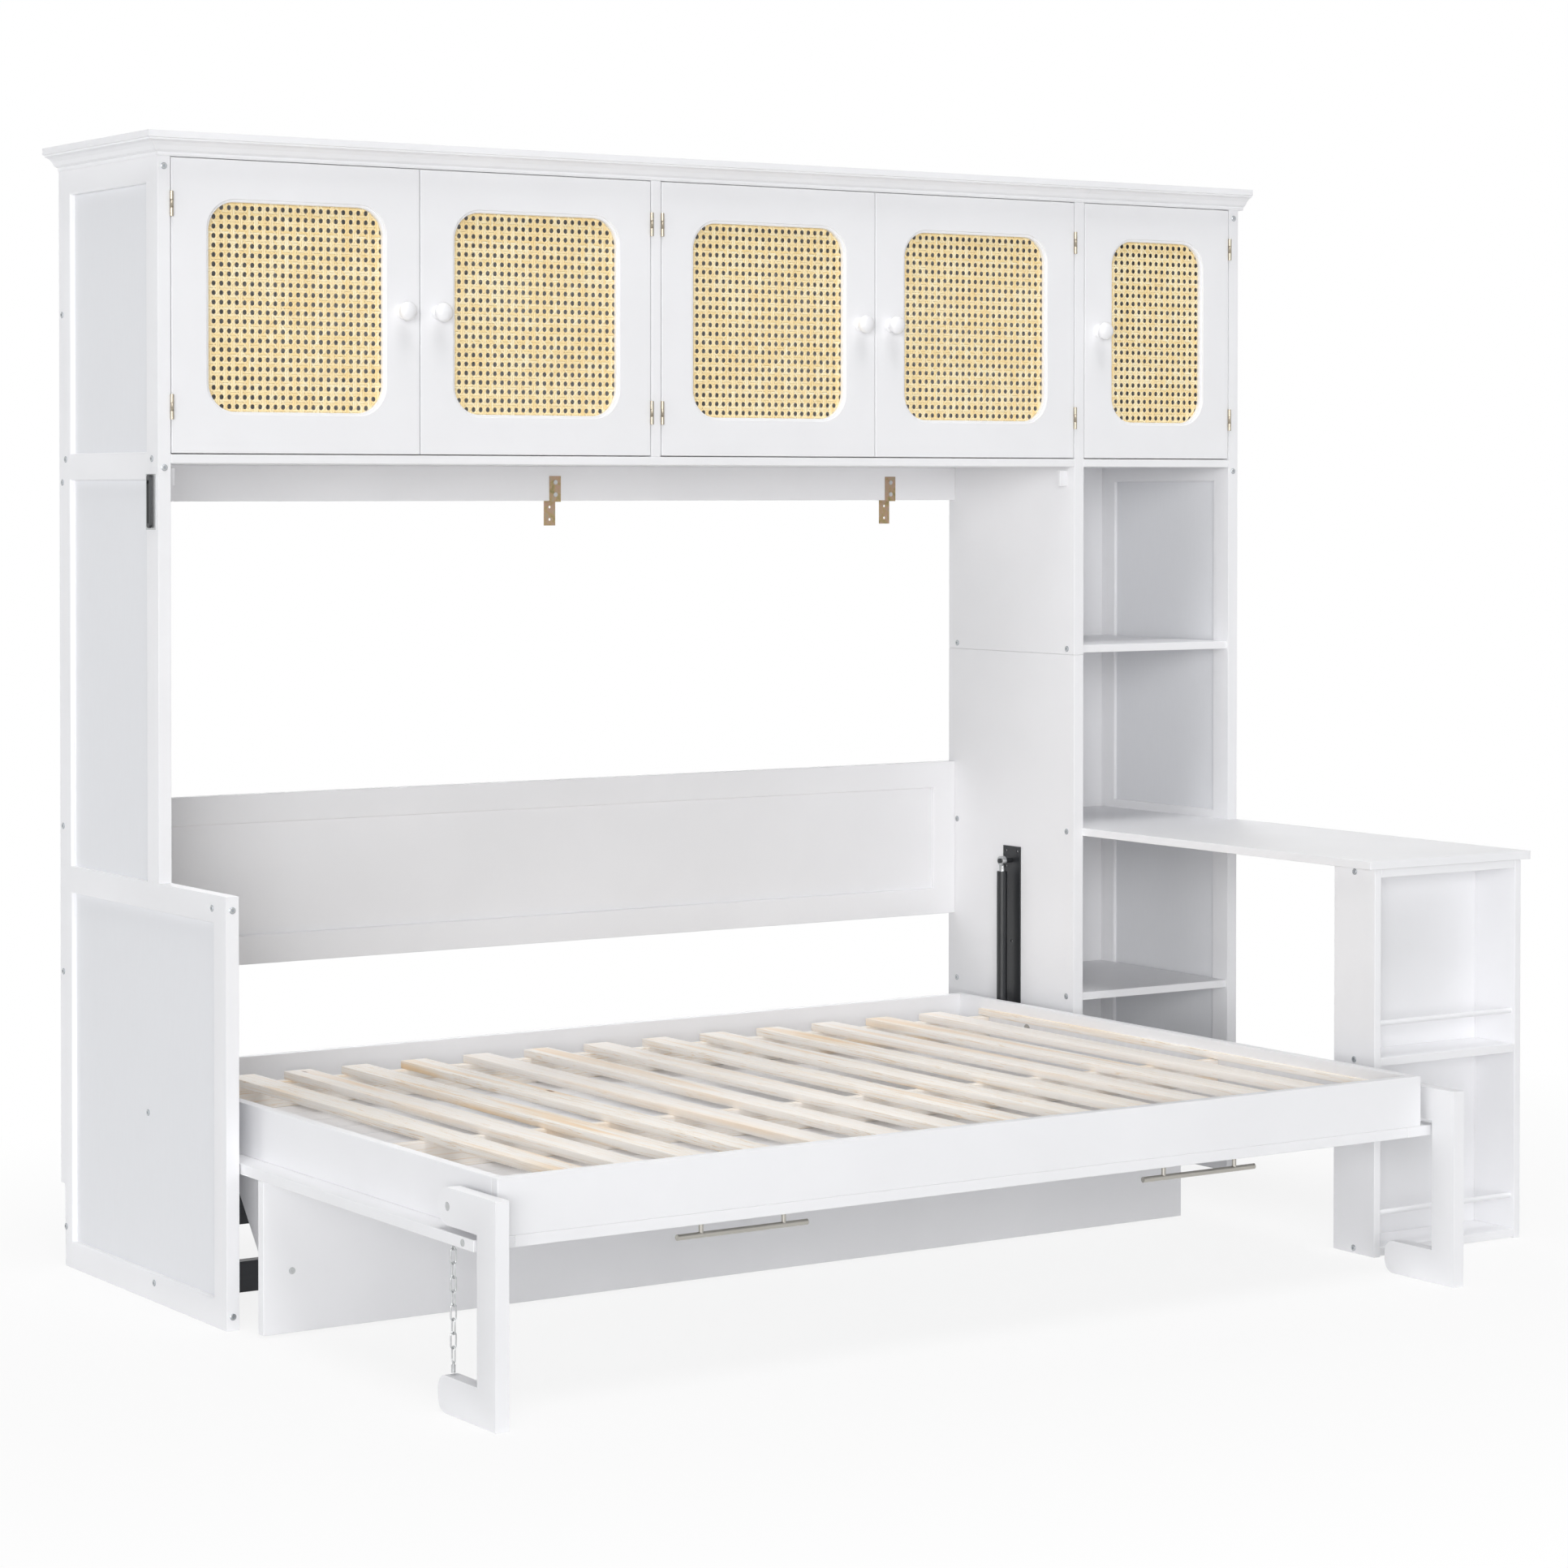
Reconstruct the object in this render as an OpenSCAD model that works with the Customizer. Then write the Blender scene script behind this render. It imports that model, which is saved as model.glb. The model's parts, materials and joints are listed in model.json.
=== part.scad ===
// Wall bed with overhead cane cabinet, shelf tower, fixed desk and fold-down shelf desk.
// Working frame: X to the right from the left side's outer face, Y = 0 at the wall and
// -Y into the room, Z up from the floor. place() moves it to the centre of the footprint.
// Shown with the bed down. All sizes in millimetres.

/* [Mattress and bed frame] */
// Width of the mattress, measured from the wall into the room
mattress_w = 1350; // [1200:10:1400]
// Length of the mattress, measured along the wall
mattress_l = 1900; // [1850:10:2000]
// Free space between mattress and rail at each long side
play_w = 1.5; // [0.5:0.5:10]
// Free space between mattress and rail at each short end
play_l = 10; // [2:1:25]
// Thickness of the bed rails
rail_t = 19; // [15:1:28]
// Height of the bed rails above the face strips
rail_h = 92; // [70:1:140]
// Height of the face strips above the floor with the bed down
lip_z = 269; // [240:1:300]
// Thickness of the face strips under the rails
lip_t = 19; // [12:1:25]
// Width of the face strips
lip_w = 75; // [50:1:110]
// How far the face strips stand out past the end rails
lip_over = 43; // [38:1:60]
// Distance from the wall to the back of the bed frame
bed_back = 112; // [90:1:130]

/* [Slats] */
// Width of a slat
slat_w = 56; // [40:1:90]
// Thickness of a slat
slat_t = 15; // [10:1:22]
// Number of slats
slat_count = 13; // [9:1:16]
// Free space between the end rails and the outer slats
slat_margin = 110; // [20:1:120]
// How far the first slats lie inward of an even spacing
slat_crowd = 43; // [0:1:60]
// Height of the slat bearers
bearer_h = 48; // [35:1:60]
// Thickness of the board that closes the underside
under_t = 9; // [6:1:15]
// Distance between the grooves of the underside board
groove_pitch = 90; // [60:5:200]

/* [Carcass] */
// Thickness of sides, divider and legs
board_t = 25; // [18:1:30]
// Clear width of the shelf tower
tower_w = 393; // [300:1:600]
// Height of the carcass without the crown
body_h = 2049; // [1950:1:2300]
// Depth of the upper cabinet, divider and tower
side_d = 430; // [400:5:500]
// Depth of the low end board on the left
low_d = 698; // [600:2:760]
// Height of the low end board and of the desk
low_h = 752; // [700:1:800]
// Width of the stiles and rails of the panelled sides
stile_w = 50; // [35:1:80]
// Depth of the recess in the panelled sides
recess = 10; // [3:1:10]
// Height of the lower edge of the middle rail in the left side
mid_rail_z = 1472; // [1300:1:1500]
// Height of the joint in the divider
divider_joint_z = 1112; // [900:1:1300]
// Depth of the cut-out for the skirting board
skirting_d = 18; // [5:1:25]
// Height of the cut-out for the skirting board
skirting_h = 154; // [60:1:200]
// Thickness of cabinet and tower shelves
shelf_t = 16; // [12:1:25]
// Thickness of the back panels
back_t = 9; // [5:1:12]
// Gap between the closed bed and the overhead cabinet
cab_gap = 28; // [15:1:45]
// Thickness of the board between the two pairs of doors
partition_t = 22; // [16:1:30]
// Height of the crown moulding
crown_h = 42; // [40:1:90]
// How far the crown stands out
crown_out = 33; // [25:1:70]
// How far the crown runs past the right side
crown_over = 13; // [5:1:25]
// Top height of the tower's upper shelf
tower_shelf_z = 1132; // [1000:1:1300]
// Top height of the tower's lower shelf
tower_low_z = 409; // [300:1:550]
// Thickness of the rails along the wall
wall_rail_t = 22; // [16:1:28]
// Height of the upper wall rail
wall_rail_h = 70; // [60:1:90]
// Lower edge of the panelled back board
back_board_z = 540; // [450:1:600]
// Height of the panelled back board
back_board_h = 328; // [250:1:400]
// Height of the base rails
base_rail_h = 56; // [40:1:60]

/* [Doors] */
// Thickness of the door frames
door_t = 20; // [16:1:26]
// Gap around the doors
door_gap = 2; // [2:0.5:4]
// Width of the door frame members
door_stile = 75; // [50:1:90]
// Corner radius of the cane window
window_r = 52; // [15:1:70]
// Thickness of the cane sheet
cane_t = 2; // [1:0.5:3]
// Radius of the knobs
knob_r = 18; // [10:1:22]
// Length of a door hinge
hinge_l = 45; // [30:1:70]

/* [Desk] */
// Thickness of the desk top
desk_t = 16; // [12:1:30]
// Distance from the wall to the front of the desk
desk_d = 1290; // [1100:5:1450]
// Thickness of the boards of the open case
case_t = 16; // [12:1:20]
// Depth of the open case under the desk
case_d = 112; // [90:1:200]
// Top height of the case's middle shelf
case_shelf_z = 378; // [250:1:500]
// Radius of the retaining rods
rod_r = 5; // [3:0.5:8]
// Thickness of the shelf panel under the bed
shelf_panel_t = 20; // [12:1:30]

/* [Legs] */
// Height of the leg's arm
arm_h = 60; // [40:1:66]
// Height of the leg's foot
foot_h = 60; // [40:1:62]
// Width of the leg's post
post_w = 57; // [40:1:80]
// Length of the leg's arm and foot, back to front
leg_l = 180; // [150:1:220]
// Free space between leg and face strip
leg_play = 10; // [9:1:14]

/* [Hardware] */
// Height of the bed pivot above the floor
pivot_z = 333; // [320:1:350]
// Radius of the bed pivot pins
pivot_r = 10; // [6:0.5:12]
// Height of the upper strut joint
strut_z = 670; // [640:1:700]
// Distance of the struts from the wall
strut_y = 223; // [205:1:235]
// Radius of the strut cylinder
strut_r = 11; // [9:0.5:12]
// Radius of the strut rod
strut_rod_r = 5; // [3:0.5:6]
// Width of the wall brackets
bracket_w = 26; // [20:1:40]
// Distance from the middle of the bed bay to the first wall bracket
bracket_in = 18; // [0:1:60]
// Distance between the two wall brackets
bracket_span = 835; // [600:5:900]
// Distance between the holes of a bracket plate
bracket_pitch = 25; // [18:1:30]
// Radius of the holes in the wall brackets
bracket_hole_r = 2.75; // [2:0.25:4]
// Length of a pull handle
pull_l = 257; // [150:1:320]
// Distance between the posts of a pull handle
pull_pitch = 163; // [96:1:224]
// Distance from the side of the bay to the middle of a pull handle
pull_in = 533; // [300:1:700]
// Radius of the pull handle's bar
pull_r = 5; // [3.5:0.5:8]
// Distance of the pull bar from the bed
pull_out = 25; // [20:1:40]
// Inner length of a chain link
link_l = 22.8; // [14:0.2:30]
// Radius of the chain wire
wire_r = 1.3; // [0.8:0.1:2]
// Number of links in the safety chain
links = 8; // [4:1:8]

/* [Hidden] */
$fn = 48;

white = [0.93, 0.93, 0.92];
pine = [0.85, 0.68, 0.45];
cane_colour = [0.80, 0.68, 0.48];
steel = [0.70, 0.70, 0.68];
zinc = [0.82, 0.72, 0.42];
black = [0.08, 0.08, 0.08];

// Bed frame along X
gap_l = 4;
gap_r = 7;
seat = 0.3;
joint = 0.2;
run = 0.05;
bed_l = mattress_l + 2 * play_l + 2 * rail_t;
bed_w = mattress_w + 2 * play_w + 2 * rail_t;
bay_w = bed_l + 2 * lip_over + gap_l + gap_r;
lip_x0 = board_t + gap_l;
bed_x0 = lip_x0 + lip_over;
bed_x1 = bed_x0 + bed_l;
lip_x1 = bed_x1 + lip_over;
bed_y1 = -bed_back;
bed_y0 = bed_y1 - bed_w;
rail_z = lip_z + lip_t;
rail_top = rail_z + rail_h;

// Carcass along X and its heights
bay_x0 = board_t;
bay_x1 = bay_x0 + bay_w;
tower_x0 = bay_x1 + board_t;
tower_x1 = tower_x0 + tower_w;
total_w = tower_x1 + board_t;
closed_inset = 4;
pivot_y = -side_d + closed_inset - lip_z + pivot_z;
closed_top = pivot_z - (bed_y0 - pivot_y);
cab_z = closed_top + cab_gap;
doors_z0 = cab_z + shelf_t + door_gap;
doors_z1 = body_h - door_gap;

// Legs
arm_z = rail_z + leg_play;
leg_y0 = bed_y0 - leg_play - post_w;
leg_bolt_y = leg_y0 + leg_l - arm_h / 2;
leg_bolt_z = arm_z + arm_h / 2;
leg_bolt_r = 5;
leg_head_r = leg_bolt_r + 1.8;
leg_x = [lip_x0, lip_x1 - board_t];

// Shelf panel under the bed: level with the low end board when the bed is closed
panel_y0 = pivot_z + pivot_y - low_h;
panel_y1 = panel_y0 + shelf_panel_t;
panel_z0 = 4;
gusset_t = 18;
gusset_x = [lip_x0 + 46, lip_x1 - 46 - gusset_t];
gusset_run = 195;

// Desk
desk_x0 = bay_x1 + board_t * 0.92;
desk_z0 = low_h - desk_t;
case_x0 = desk_x0 + 14;
case_x1 = total_w - 24;
case_y0 = -desk_d + 2;

// Recess on both faces of the right side's panels
recess_r = recess * 0.8;

// Doors: [left edge, right edge, 1 when hinged at the left]
bay_mid = bay_x0 + bay_w / 2;
part_x0 = bay_mid - partition_t / 2;
part_x1 = bay_mid + partition_t / 2;
half_w = (part_x0 - bay_x0 - 3 * door_gap) / 2;
doors = [
  [bay_x0 + door_gap, bay_x0 + door_gap + half_w, 1],
  [part_x0 - door_gap - half_w, part_x0 - door_gap, 0],
  [part_x1 + door_gap, part_x1 + door_gap + half_w, 1],
  [bay_x1 - door_gap - half_w, bay_x1 - door_gap, 0],
  [tower_x0 + door_gap, tower_x1 - door_gap, 0]
];
knuckle_r = 3.5;
hinge_pin_r = 1.5;
leaf_t = 0.6;
hinge_y = -side_d - knuckle_r - 0.1;
hinge_z = [doors_z0 + 60, doors_z1 - 60 - hinge_l];

// Struts
strut_off = 23;
strut_x = [bed_x0 - strut_off, bed_x1 + strut_off];
strut_low_z = pivot_z - 13;
plate_t = 3;
stud_r = 5;

// Chain
chain_x = lip_x0 + 10;
chain_y = leg_bolt_y - 2;
chain_top = lip_z - 7.5;
eye_r = 3.3;
eye_wire_r = 1.1;
link_pitch = link_l - 0.6;
link_w = 12;

module place() {
  translate([(crown_out - crown_over - total_w) / 2, -leg_y0 / 2, 0]) children();
}

// Box between two corners
module box(a, b) {
  translate(a) cube(b - a);
}

// Profile given as [y, z] points, run along X
module along_x(x0, x1, pts) {
  translate([x0, 0, 0]) rotate([90, 0, 90]) linear_extrude(x1 - x0) polygon(pts);
}

// Cylinder along X, Y or Z from a point
module rod_x(p, r, l) { translate(p) rotate([0, 90, 0]) cylinder(r = r, h = l); }
module rod_y(p, r, l) { translate(p) rotate([-90, 0, 0]) cylinder(r = r, h = l); }
module rod_z(p, r, l) { translate(p) cylinder(r = r, h = l); }

// Rectangle with round corners, exact arcs
module round_rect(w, h, r) {
  translate([r, 0]) square([w - 2 * r, h]);
  translate([0, r]) square([w, h - 2 * r]);
  for (x = [r, w - r], y = [r, h - r]) translate([x, y]) circle(r = r);
}

/* ---- carcass ---- */

module left_low_frame() {
  color(white) place() difference() {
    box([0, -low_d, 0], [board_t, 0, low_h]);
    box([-1, -low_d + stile_w, stile_w], [board_t + 1, -stile_w, low_h - stile_w]);
    box([-1, -skirting_d, -1], [board_t + 1, 1, skirting_h]);
  }
}

module left_upper_frame() {
  color(white) place() difference() {
    box([0, -side_d, low_h], [board_t, 0, body_h]);
    box([-1, -side_d + stile_w, low_h - 1], [board_t + 1, -stile_w, mid_rail_z]);
    box([-1, -side_d + stile_w, mid_rail_z + stile_w],
        [board_t + 1, -stile_w, body_h - stile_w + 4]);
  }
}

module right_side_frame() {
  color(white) place() difference() {
    box([tower_x1, -side_d, 0], [total_w, 0, body_h]);
    box([tower_x1 - 1, -side_d + stile_w, stile_w],
        [total_w + 1, -stile_w, low_h - stile_w]);
    box([tower_x1 - 1, -side_d + stile_w, low_h + 18],
        [total_w + 1, -stile_w, mid_rail_z]);
    box([tower_x1 - 1, -side_d + stile_w, mid_rail_z + stile_w],
        [total_w + 1, -stile_w, body_h - stile_w + 4]);
    box([tower_x1 - 1, -skirting_d, -1], [total_w + 1, 1, skirting_h]);
  }
}

module side_infill_panels() {
  color(white) place() {
    difference() {
      box([recess, -low_d + stile_w, stile_w], [board_t, -stile_w, low_h - stile_w]);
      rod_x([recess + 2, pivot_y, pivot_z], pivot_r + run, board_t);
    }
    box([recess, -side_d + stile_w, low_h], [board_t, -stile_w, mid_rail_z]);
    box([recess, -side_d + stile_w, mid_rail_z + stile_w],
        [board_t, -stile_w, body_h - stile_w + 4]);
    box([tower_x1 + recess_r, -side_d + stile_w, stile_w],
        [total_w - recess_r, -stile_w, low_h - stile_w]);
    box([tower_x1 + recess_r, -side_d + stile_w, low_h + 18],
        [total_w - recess_r, -stile_w, mid_rail_z]);
    box([tower_x1 + recess_r, -side_d + stile_w, mid_rail_z + stile_w],
        [total_w - recess_r, -stile_w, body_h - stile_w + 4]);
  }
}

module divider_boards() {
  color(white) place() {
    difference() {
      box([bay_x1, -side_d, 0], [tower_x0, 0, divider_joint_z]);
      box([bay_x1 - 1, -skirting_d, -1], [tower_x0 + 1, 1, skirting_h]);
      rod_x([bay_x1 - 1, pivot_y, pivot_z], pivot_r + run, board_t - recess + 1);
    }
    box([bay_x1, -side_d, divider_joint_z + joint], [tower_x0, 0, body_h]);
  }
}

module tower_back() {
  color(white) place()
    box([tower_x0, -back_t, skirting_h], [tower_x1, 0, body_h]);
}

module tower_boards() {
  color(white) place() {
    box([tower_x0, -side_d + door_t + 2, body_h - shelf_t], [tower_x1, -back_t, body_h]);
    box([tower_x0, -side_d, cab_z], [tower_x1, -back_t, cab_z + shelf_t]);
    box([tower_x0, -side_d + 5, tower_shelf_z - shelf_t],
        [tower_x1, -back_t, tower_shelf_z]);
    box([tower_x0, -side_d + 5, tower_low_z - shelf_t], [tower_x1, -back_t, tower_low_z]);
  }
}

module cabinet_boards() {
  color(white) place() {
    box([bay_x0, -side_d, cab_z], [bay_x1, -back_t, cab_z + shelf_t]);
    box([bay_x0, -side_d + door_t + 2, body_h - shelf_t], [bay_x1, -back_t, body_h]);
  }
}

module cabinet_partition() {
  color(white) place() difference() {
    box([part_x0, -side_d, cab_z + shelf_t], [part_x1, -back_t, body_h]);
    box([part_x0 - 1, -side_d + door_t + 2, body_h - shelf_t],
        [part_x1 + 1, 0, body_h + 1]);
  }
}

module cabinet_back() {
  color(white) place() box([bay_x0, -back_t, cab_z], [bay_x1, 0, body_h]);
}

// Crown section as [distance out, height]
crown_pts = [
  [-18, 0], [0, 0], [2, 3], [2, 7], [5, 8], [crown_out * 0.27, crown_h * 0.25],
  [crown_out * 0.42, crown_h * 0.42], [crown_out * 0.63, crown_h * 0.56],
  [crown_out * 0.87, crown_h * 0.63], [crown_out * 0.89, crown_h * 0.7],
  [crown_out, crown_h * 0.72], [crown_out, crown_h], [-18, crown_h]
];

module crown_front(x0, x1) {
  along_x(x0, x1, [for (p = crown_pts) [-side_d - p[0], body_h + p[1]]]);
}

// Half space in front of the mitre at the left corner
module mitre(gap) {
  translate([0, -side_d, body_h - 1]) rotate([0, 0, 45])
    translate([-side_d, -side_d - gap, 0]) cube([2 * side_d, side_d, crown_h + 2]);
}

module crown_mouldings() {
  color(white) place() {
    intersection() {
      crown_front(-crown_out, tower_x0 - joint);
      union() {
        mitre(joint / 2);
        box([crown_out, -side_d - crown_out - 1, body_h - 1],
            [tower_x0, -side_d + 100, body_h + crown_h + 1]);
      }
    }
    crown_front(tower_x0, total_w + crown_over);
    difference() {
      rotate([90, 0, 0]) linear_extrude(side_d + crown_out)
        polygon([for (p = crown_pts) [-p[0], body_h + p[1]]]);
      mitre(-joint / 2);
    }
  }
}

module upper_wall_rail() {
  color(white) place()
    box([bay_x0, -wall_rail_t, cab_z - wall_rail_h], [bay_x1, 0, cab_z]);
}

back_edge = 56;

module back_board_frame() {
  color(white) place() difference() {
    box([bay_x0, -wall_rail_t, back_board_z], [bay_x1, 0, back_board_z + back_board_h]);
    box([bay_x0 + back_edge, -wall_rail_t - 1, back_board_z + back_edge],
        [bay_x1 - back_edge, 1, back_board_z + back_board_h - back_edge]);
  }
}

module back_board_panel() {
  color(white) place()
    box([bay_x0 + back_edge, -wall_rail_t + recess, back_board_z + back_edge],
        [bay_x1 - back_edge, 0, back_board_z + back_board_h - back_edge]);
}

module base_rails() {
  color([0.45, 0.45, 0.47]) place() {
    box([bay_x0, -skirting_d - 11 - wall_rail_t, 46],
        [bay_x1, -skirting_d - 11, 46 + base_rail_h]);
    box([bay_x0, -side_d + 12, 0], [bay_x1, -side_d + 12 + wall_rail_t, base_rail_h]);
  }
}

stop_w = 19;
stop_h = 32;
stop_y = -side_d + closed_inset + lip_t + 0.5;

module stop_blocks() {
  color(white) place() {
    box([bay_x0, stop_y, cab_z - 8 - stop_h], [bay_x0 + stop_w, stop_y + 10, cab_z - 8]);
    box([bay_x1 - stop_w, stop_y, cab_z - 8 - stop_h], [bay_x1, stop_y + 10, cab_z - 8]);
  }
}

// Wall brackets: upper plate on the rail, lower plate on the wall
bracket_t = 2;
bracket_x = [bay_mid + bracket_in, bay_mid + bracket_in + bracket_span];
bracket_jog = cab_z - wall_rail_h;
bracket_h = 50;

module wall_bracket(x) {
  difference() {
    along_x(x - bracket_w / 2, x + bracket_w / 2, [
      [-wall_rail_t, bracket_jog + bracket_h], [-wall_rail_t, bracket_jog],
      [0, bracket_jog], [0, bracket_jog - bracket_h],
      [-bracket_t, bracket_jog - bracket_h], [-bracket_t, bracket_jog - bracket_t],
      [-wall_rail_t - bracket_t, bracket_jog - bracket_t],
      [-wall_rail_t - bracket_t, bracket_jog + bracket_h]
    ]);
    for (s = [-1, 1], k = [-0.5, 0.5])
      rod_y([x, -wall_rail_t - 5, bracket_jog + s * (bracket_h / 2) + k * bracket_pitch],
            bracket_hole_r, wall_rail_t + 10);
  }
}

module wall_brackets() {
  color(zinc) place() for (x = bracket_x) wall_bracket(x);
}

module bracket_screws() {
  color(steel) place()
    for (x = bracket_x, k = [-0.5, 0.5])
      translate([x, -wall_rail_t, bracket_jog + bracket_h / 2 + k * bracket_pitch]) {
        rod_y([0, -bracket_t, 0], bracket_hole_r - 0.25, bracket_t);
        rod_y([0, -bracket_t - 1.8, 0], bracket_hole_r + 1.75, 1.8);
      }
}

/* ---- desk and its open case ---- */

module desk_top() {
  color(white) place() {
    box([desk_x0, -desk_d, desk_z0], [total_w, -side_d - seat, low_h]);
    box([tower_x0 + seat, -side_d - 1, desk_z0], [tower_x1 - seat, -back_t - seat, low_h]);
  }
}

module desk_case_sides() {
  color(white) place() {
    box([case_x0, case_y0, 0], [case_x0 + case_t, case_y0 + case_d, desk_z0]);
    box([case_x1 - case_t, case_y0, 0], [case_x1, case_y0 + case_d, desk_z0]);
  }
}

case_back_t = 6;

module desk_case_shelves() {
  color(white) place()
    for (z = [2 + case_t, case_shelf_z, desk_z0])
      box([case_x0 + case_t, case_y0, z - case_t],
          [case_x1 - case_t, case_y0 + case_d - case_back_t, z]);
}

module desk_case_back() {
  color(white) place()
    box([case_x0 + case_t, case_y0 + case_d - case_back_t, 2],
        [case_x1 - case_t, case_y0 + case_d, desk_z0]);
}

rod_z_above = 64;

module desk_case_rods() {
  color(white) place()
    for (z = [2 + case_t, case_shelf_z])
      rod_x([case_x0 + case_t, case_y0 + 12, z + rod_z_above], rod_r,
            case_x1 - case_x0 - 2 * case_t);
}

/* ---- fixed hardware ---- */

strut_plate_h = 330;

module strut_plates() {
  color(black) place()
    for (s = [0, 1]) {
      x = s == 0 ? bay_x0 : bay_x1 - plate_t;
      xs = s == 0 ? bay_x0 + plate_t - 1 : strut_x[1] - 8;
      ls = s == 0 ? strut_x[0] + 8 - xs : bay_x1 - plate_t + 1 - xs;
      union() {
        difference() {
          box([x, -strut_y - 30, strut_z + 30 - strut_plate_h],
              [x + plate_t, -strut_y + 27, strut_z + 30]);
          for (q = [[-21, 20], [17, 20], [17, -13], [-2, -171]])
            rod_x([x - 1, -strut_y + q[0], strut_z + q[1]], 3, plate_t + 2);
        }
        rod_x([xs, -strut_y, strut_z], stud_r, ls);
      }
    }
}

module pivot_plates() {
  color(steel) place()
    for (x = [bay_x0, bay_x1 - plate_t])
      difference() {
        rod_x([x, pivot_y, pivot_z], pivot_r + 22, plate_t);
        rod_x([x - 1, pivot_y, pivot_z], pivot_r + run, plate_t + 2);
      }
}

track_w = 38;
track_h = 100;
track_z = mid_rail_z + 11 - track_h;
channel_w = 12;
channel_t = 5;
// Y of the channel's middle, and its ends
channel_y = -side_d + 28;
channel_z0 = track_z + 3;
channel_z1 = track_z + track_h - 1;
keyhole_z = channel_z1 - 14;

// Slot with round ends along Z, cut from x0 over a length t
module upright_slot(x0, t, w, z0, z1) {
  box([x0, channel_y - w / 2, z0 + w / 2], [x0 + t, channel_y + w / 2, z1 - w / 2]);
  for (z = [z0 + w / 2, z1 - w / 2]) rod_x([x0, channel_y, z], w / 2, t);
}

// Thin plate on the side with a keyhole channel for the chain's button
module chain_track() {
  color(black) place() difference() {
    union() {
      box([-2, -side_d + 9, track_z], [0, -side_d + 9 + track_w, track_z + track_h]);
      upright_slot(-2 - channel_t, channel_t, channel_w, channel_z0, channel_z1);
    }
    upright_slot(-3 - channel_t, channel_t + 1, 4, channel_z0 + 8, keyhole_z);
    box([-5.5, channel_y - 4.5, channel_z0 + 7], [-2, channel_y + 4.5, keyhole_z + 5]);
    rod_x([-3 - channel_t, channel_y, keyhole_z], 4.2, channel_t + 1);
  }
}

cap_r = 6;
cap_t = 1.5;
// Caps on the left side, as [y, z] and recessed or not
left_caps = [
  [-14, 1781], [-29, mid_rail_z + 39], [-side_d + 26, mid_rail_z + 38], [-14, mid_rail_z - 4],
  [-14, 825], [-14, 552], [-23, 74], [-side_d + 23, 34], [-low_d + 54, low_h - 24]
];
divider_caps = [
  [-30, tower_shelf_z - 8], [-side_d + 24, tower_shelf_z - 8],
  [-30, desk_z0 + 8], [-side_d + 24, desk_z0 + 8],
  [-30, tower_low_z - 8], [-side_d + 24, tower_low_z - 8]
];

module bolt_caps() {
  color(black) place() {
    for (p = left_caps) rod_x([-cap_t, p[0], p[1]], cap_r, cap_t);
    rod_x([recess - cap_t, pivot_y, pivot_z], cap_r, cap_t);
    for (p = divider_caps) rod_x([bay_x1 - cap_t, p[0], p[1]], cap_r, cap_t);
    for (p = [[board_t / 2, body_h - 18], [board_t / 2, cab_z - 8],
              [total_w - board_t / 2, body_h - 18], [total_w - board_t / 2, cab_z - 8]])
      rod_y([p[0], -side_d - cap_t, p[1]], cap_r, cap_t);
    for (z = [low_h - 24, 24]) rod_y([board_t / 2, -low_d - cap_t, z], cap_r, cap_t);
    for (z = [desk_z0 - case_t / 2, case_shelf_z - case_t / 2, 2 + case_t / 2]) {
      rod_x([case_x0 - cap_t, case_y0 + case_d / 2, z], cap_r, cap_t);
      rod_x([case_x1, case_y0 + case_d / 2, z], cap_r, cap_t);
    }
  }
}

/* ---- doors ---- */

function hinge_x(d) = d[2] == 1 ? d[0] - door_gap / 2 : d[1] + door_gap / 2;
function hinge_s(d) = d[2] == 1 ? 1 : -1;
third = hinge_l / 3;

// Fixed leaf on the stile with the two outer knuckles
module fixed_leaf(d, z) {
  s = hinge_s(d);
  x = hinge_x(d);
  xa = x - s * door_gap / 2;
  difference() {
    union() {
      box([min(xa, xa + s * leaf_t), -side_d, z],
          [max(xa, xa + s * leaf_t), -side_d + 17, z + hinge_l]);
      for (k = [0, 2])
        translate([0, 0, z + k * third]) {
          rod_z([x, hinge_y, 0], knuckle_r, third - seat / 2);
          box([min(xa, xa + s * leaf_t), hinge_y, 0],
              [max(xa, xa + s * leaf_t), -side_d + 1, third - seat / 2]);
        }
    }
    rod_z([x, hinge_y, z - 1], hinge_pin_r + run, hinge_l + 2);
  }
}

// Moving leaf on the door with the middle knuckle and the pin
module moving_leaf(d, z) {
  s = hinge_s(d);
  x = hinge_x(d);
  xa = x + s * door_gap / 2;
  box([min(xa, xa - s * leaf_t), -side_d, z],
      [max(xa, xa - s * leaf_t), -side_d + 17, z + hinge_l]);
  translate([0, 0, z + third + seat / 2]) {
    rod_z([x, hinge_y, 0], knuckle_r, third - seat * 1.5);
    box([min(xa, xa - s * leaf_t), hinge_y, 0],
        [max(xa, xa - s * leaf_t), -side_d + 1, third - seat * 1.5]);
  }
  rod_z([x, hinge_y, z], hinge_pin_r, hinge_l);
}

module door_hinge_leaves() {
  color(steel) place() for (d = doors, z = hinge_z) fixed_leaf(d, z);
}

module door_frame(d) {
  w = d[1] - d[0];
  h = doors_z1 - doors_z0;
  iw = w - 2 * door_stile;
  ih = h - 2 * door_stile;
  color(white) place() translate([d[0], -side_d + door_t, doors_z0]) rotate([90, 0, 0])
    difference() {
      cube([w, h, door_t]);
      translate([door_stile, door_stile, -1]) linear_extrude(door_t + 2)
        round_rect(iw, ih, window_r);
      translate([door_stile - 8, door_stile - 8, -1]) linear_extrude(8)
        round_rect(iw + 16, ih + 16, window_r + 8);
      translate([door_stile - 5, door_stile - 5, door_t - 4]) linear_extrude(5)
        round_rect(iw + 10, ih + 10, window_r + 5);
    }
}

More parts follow.
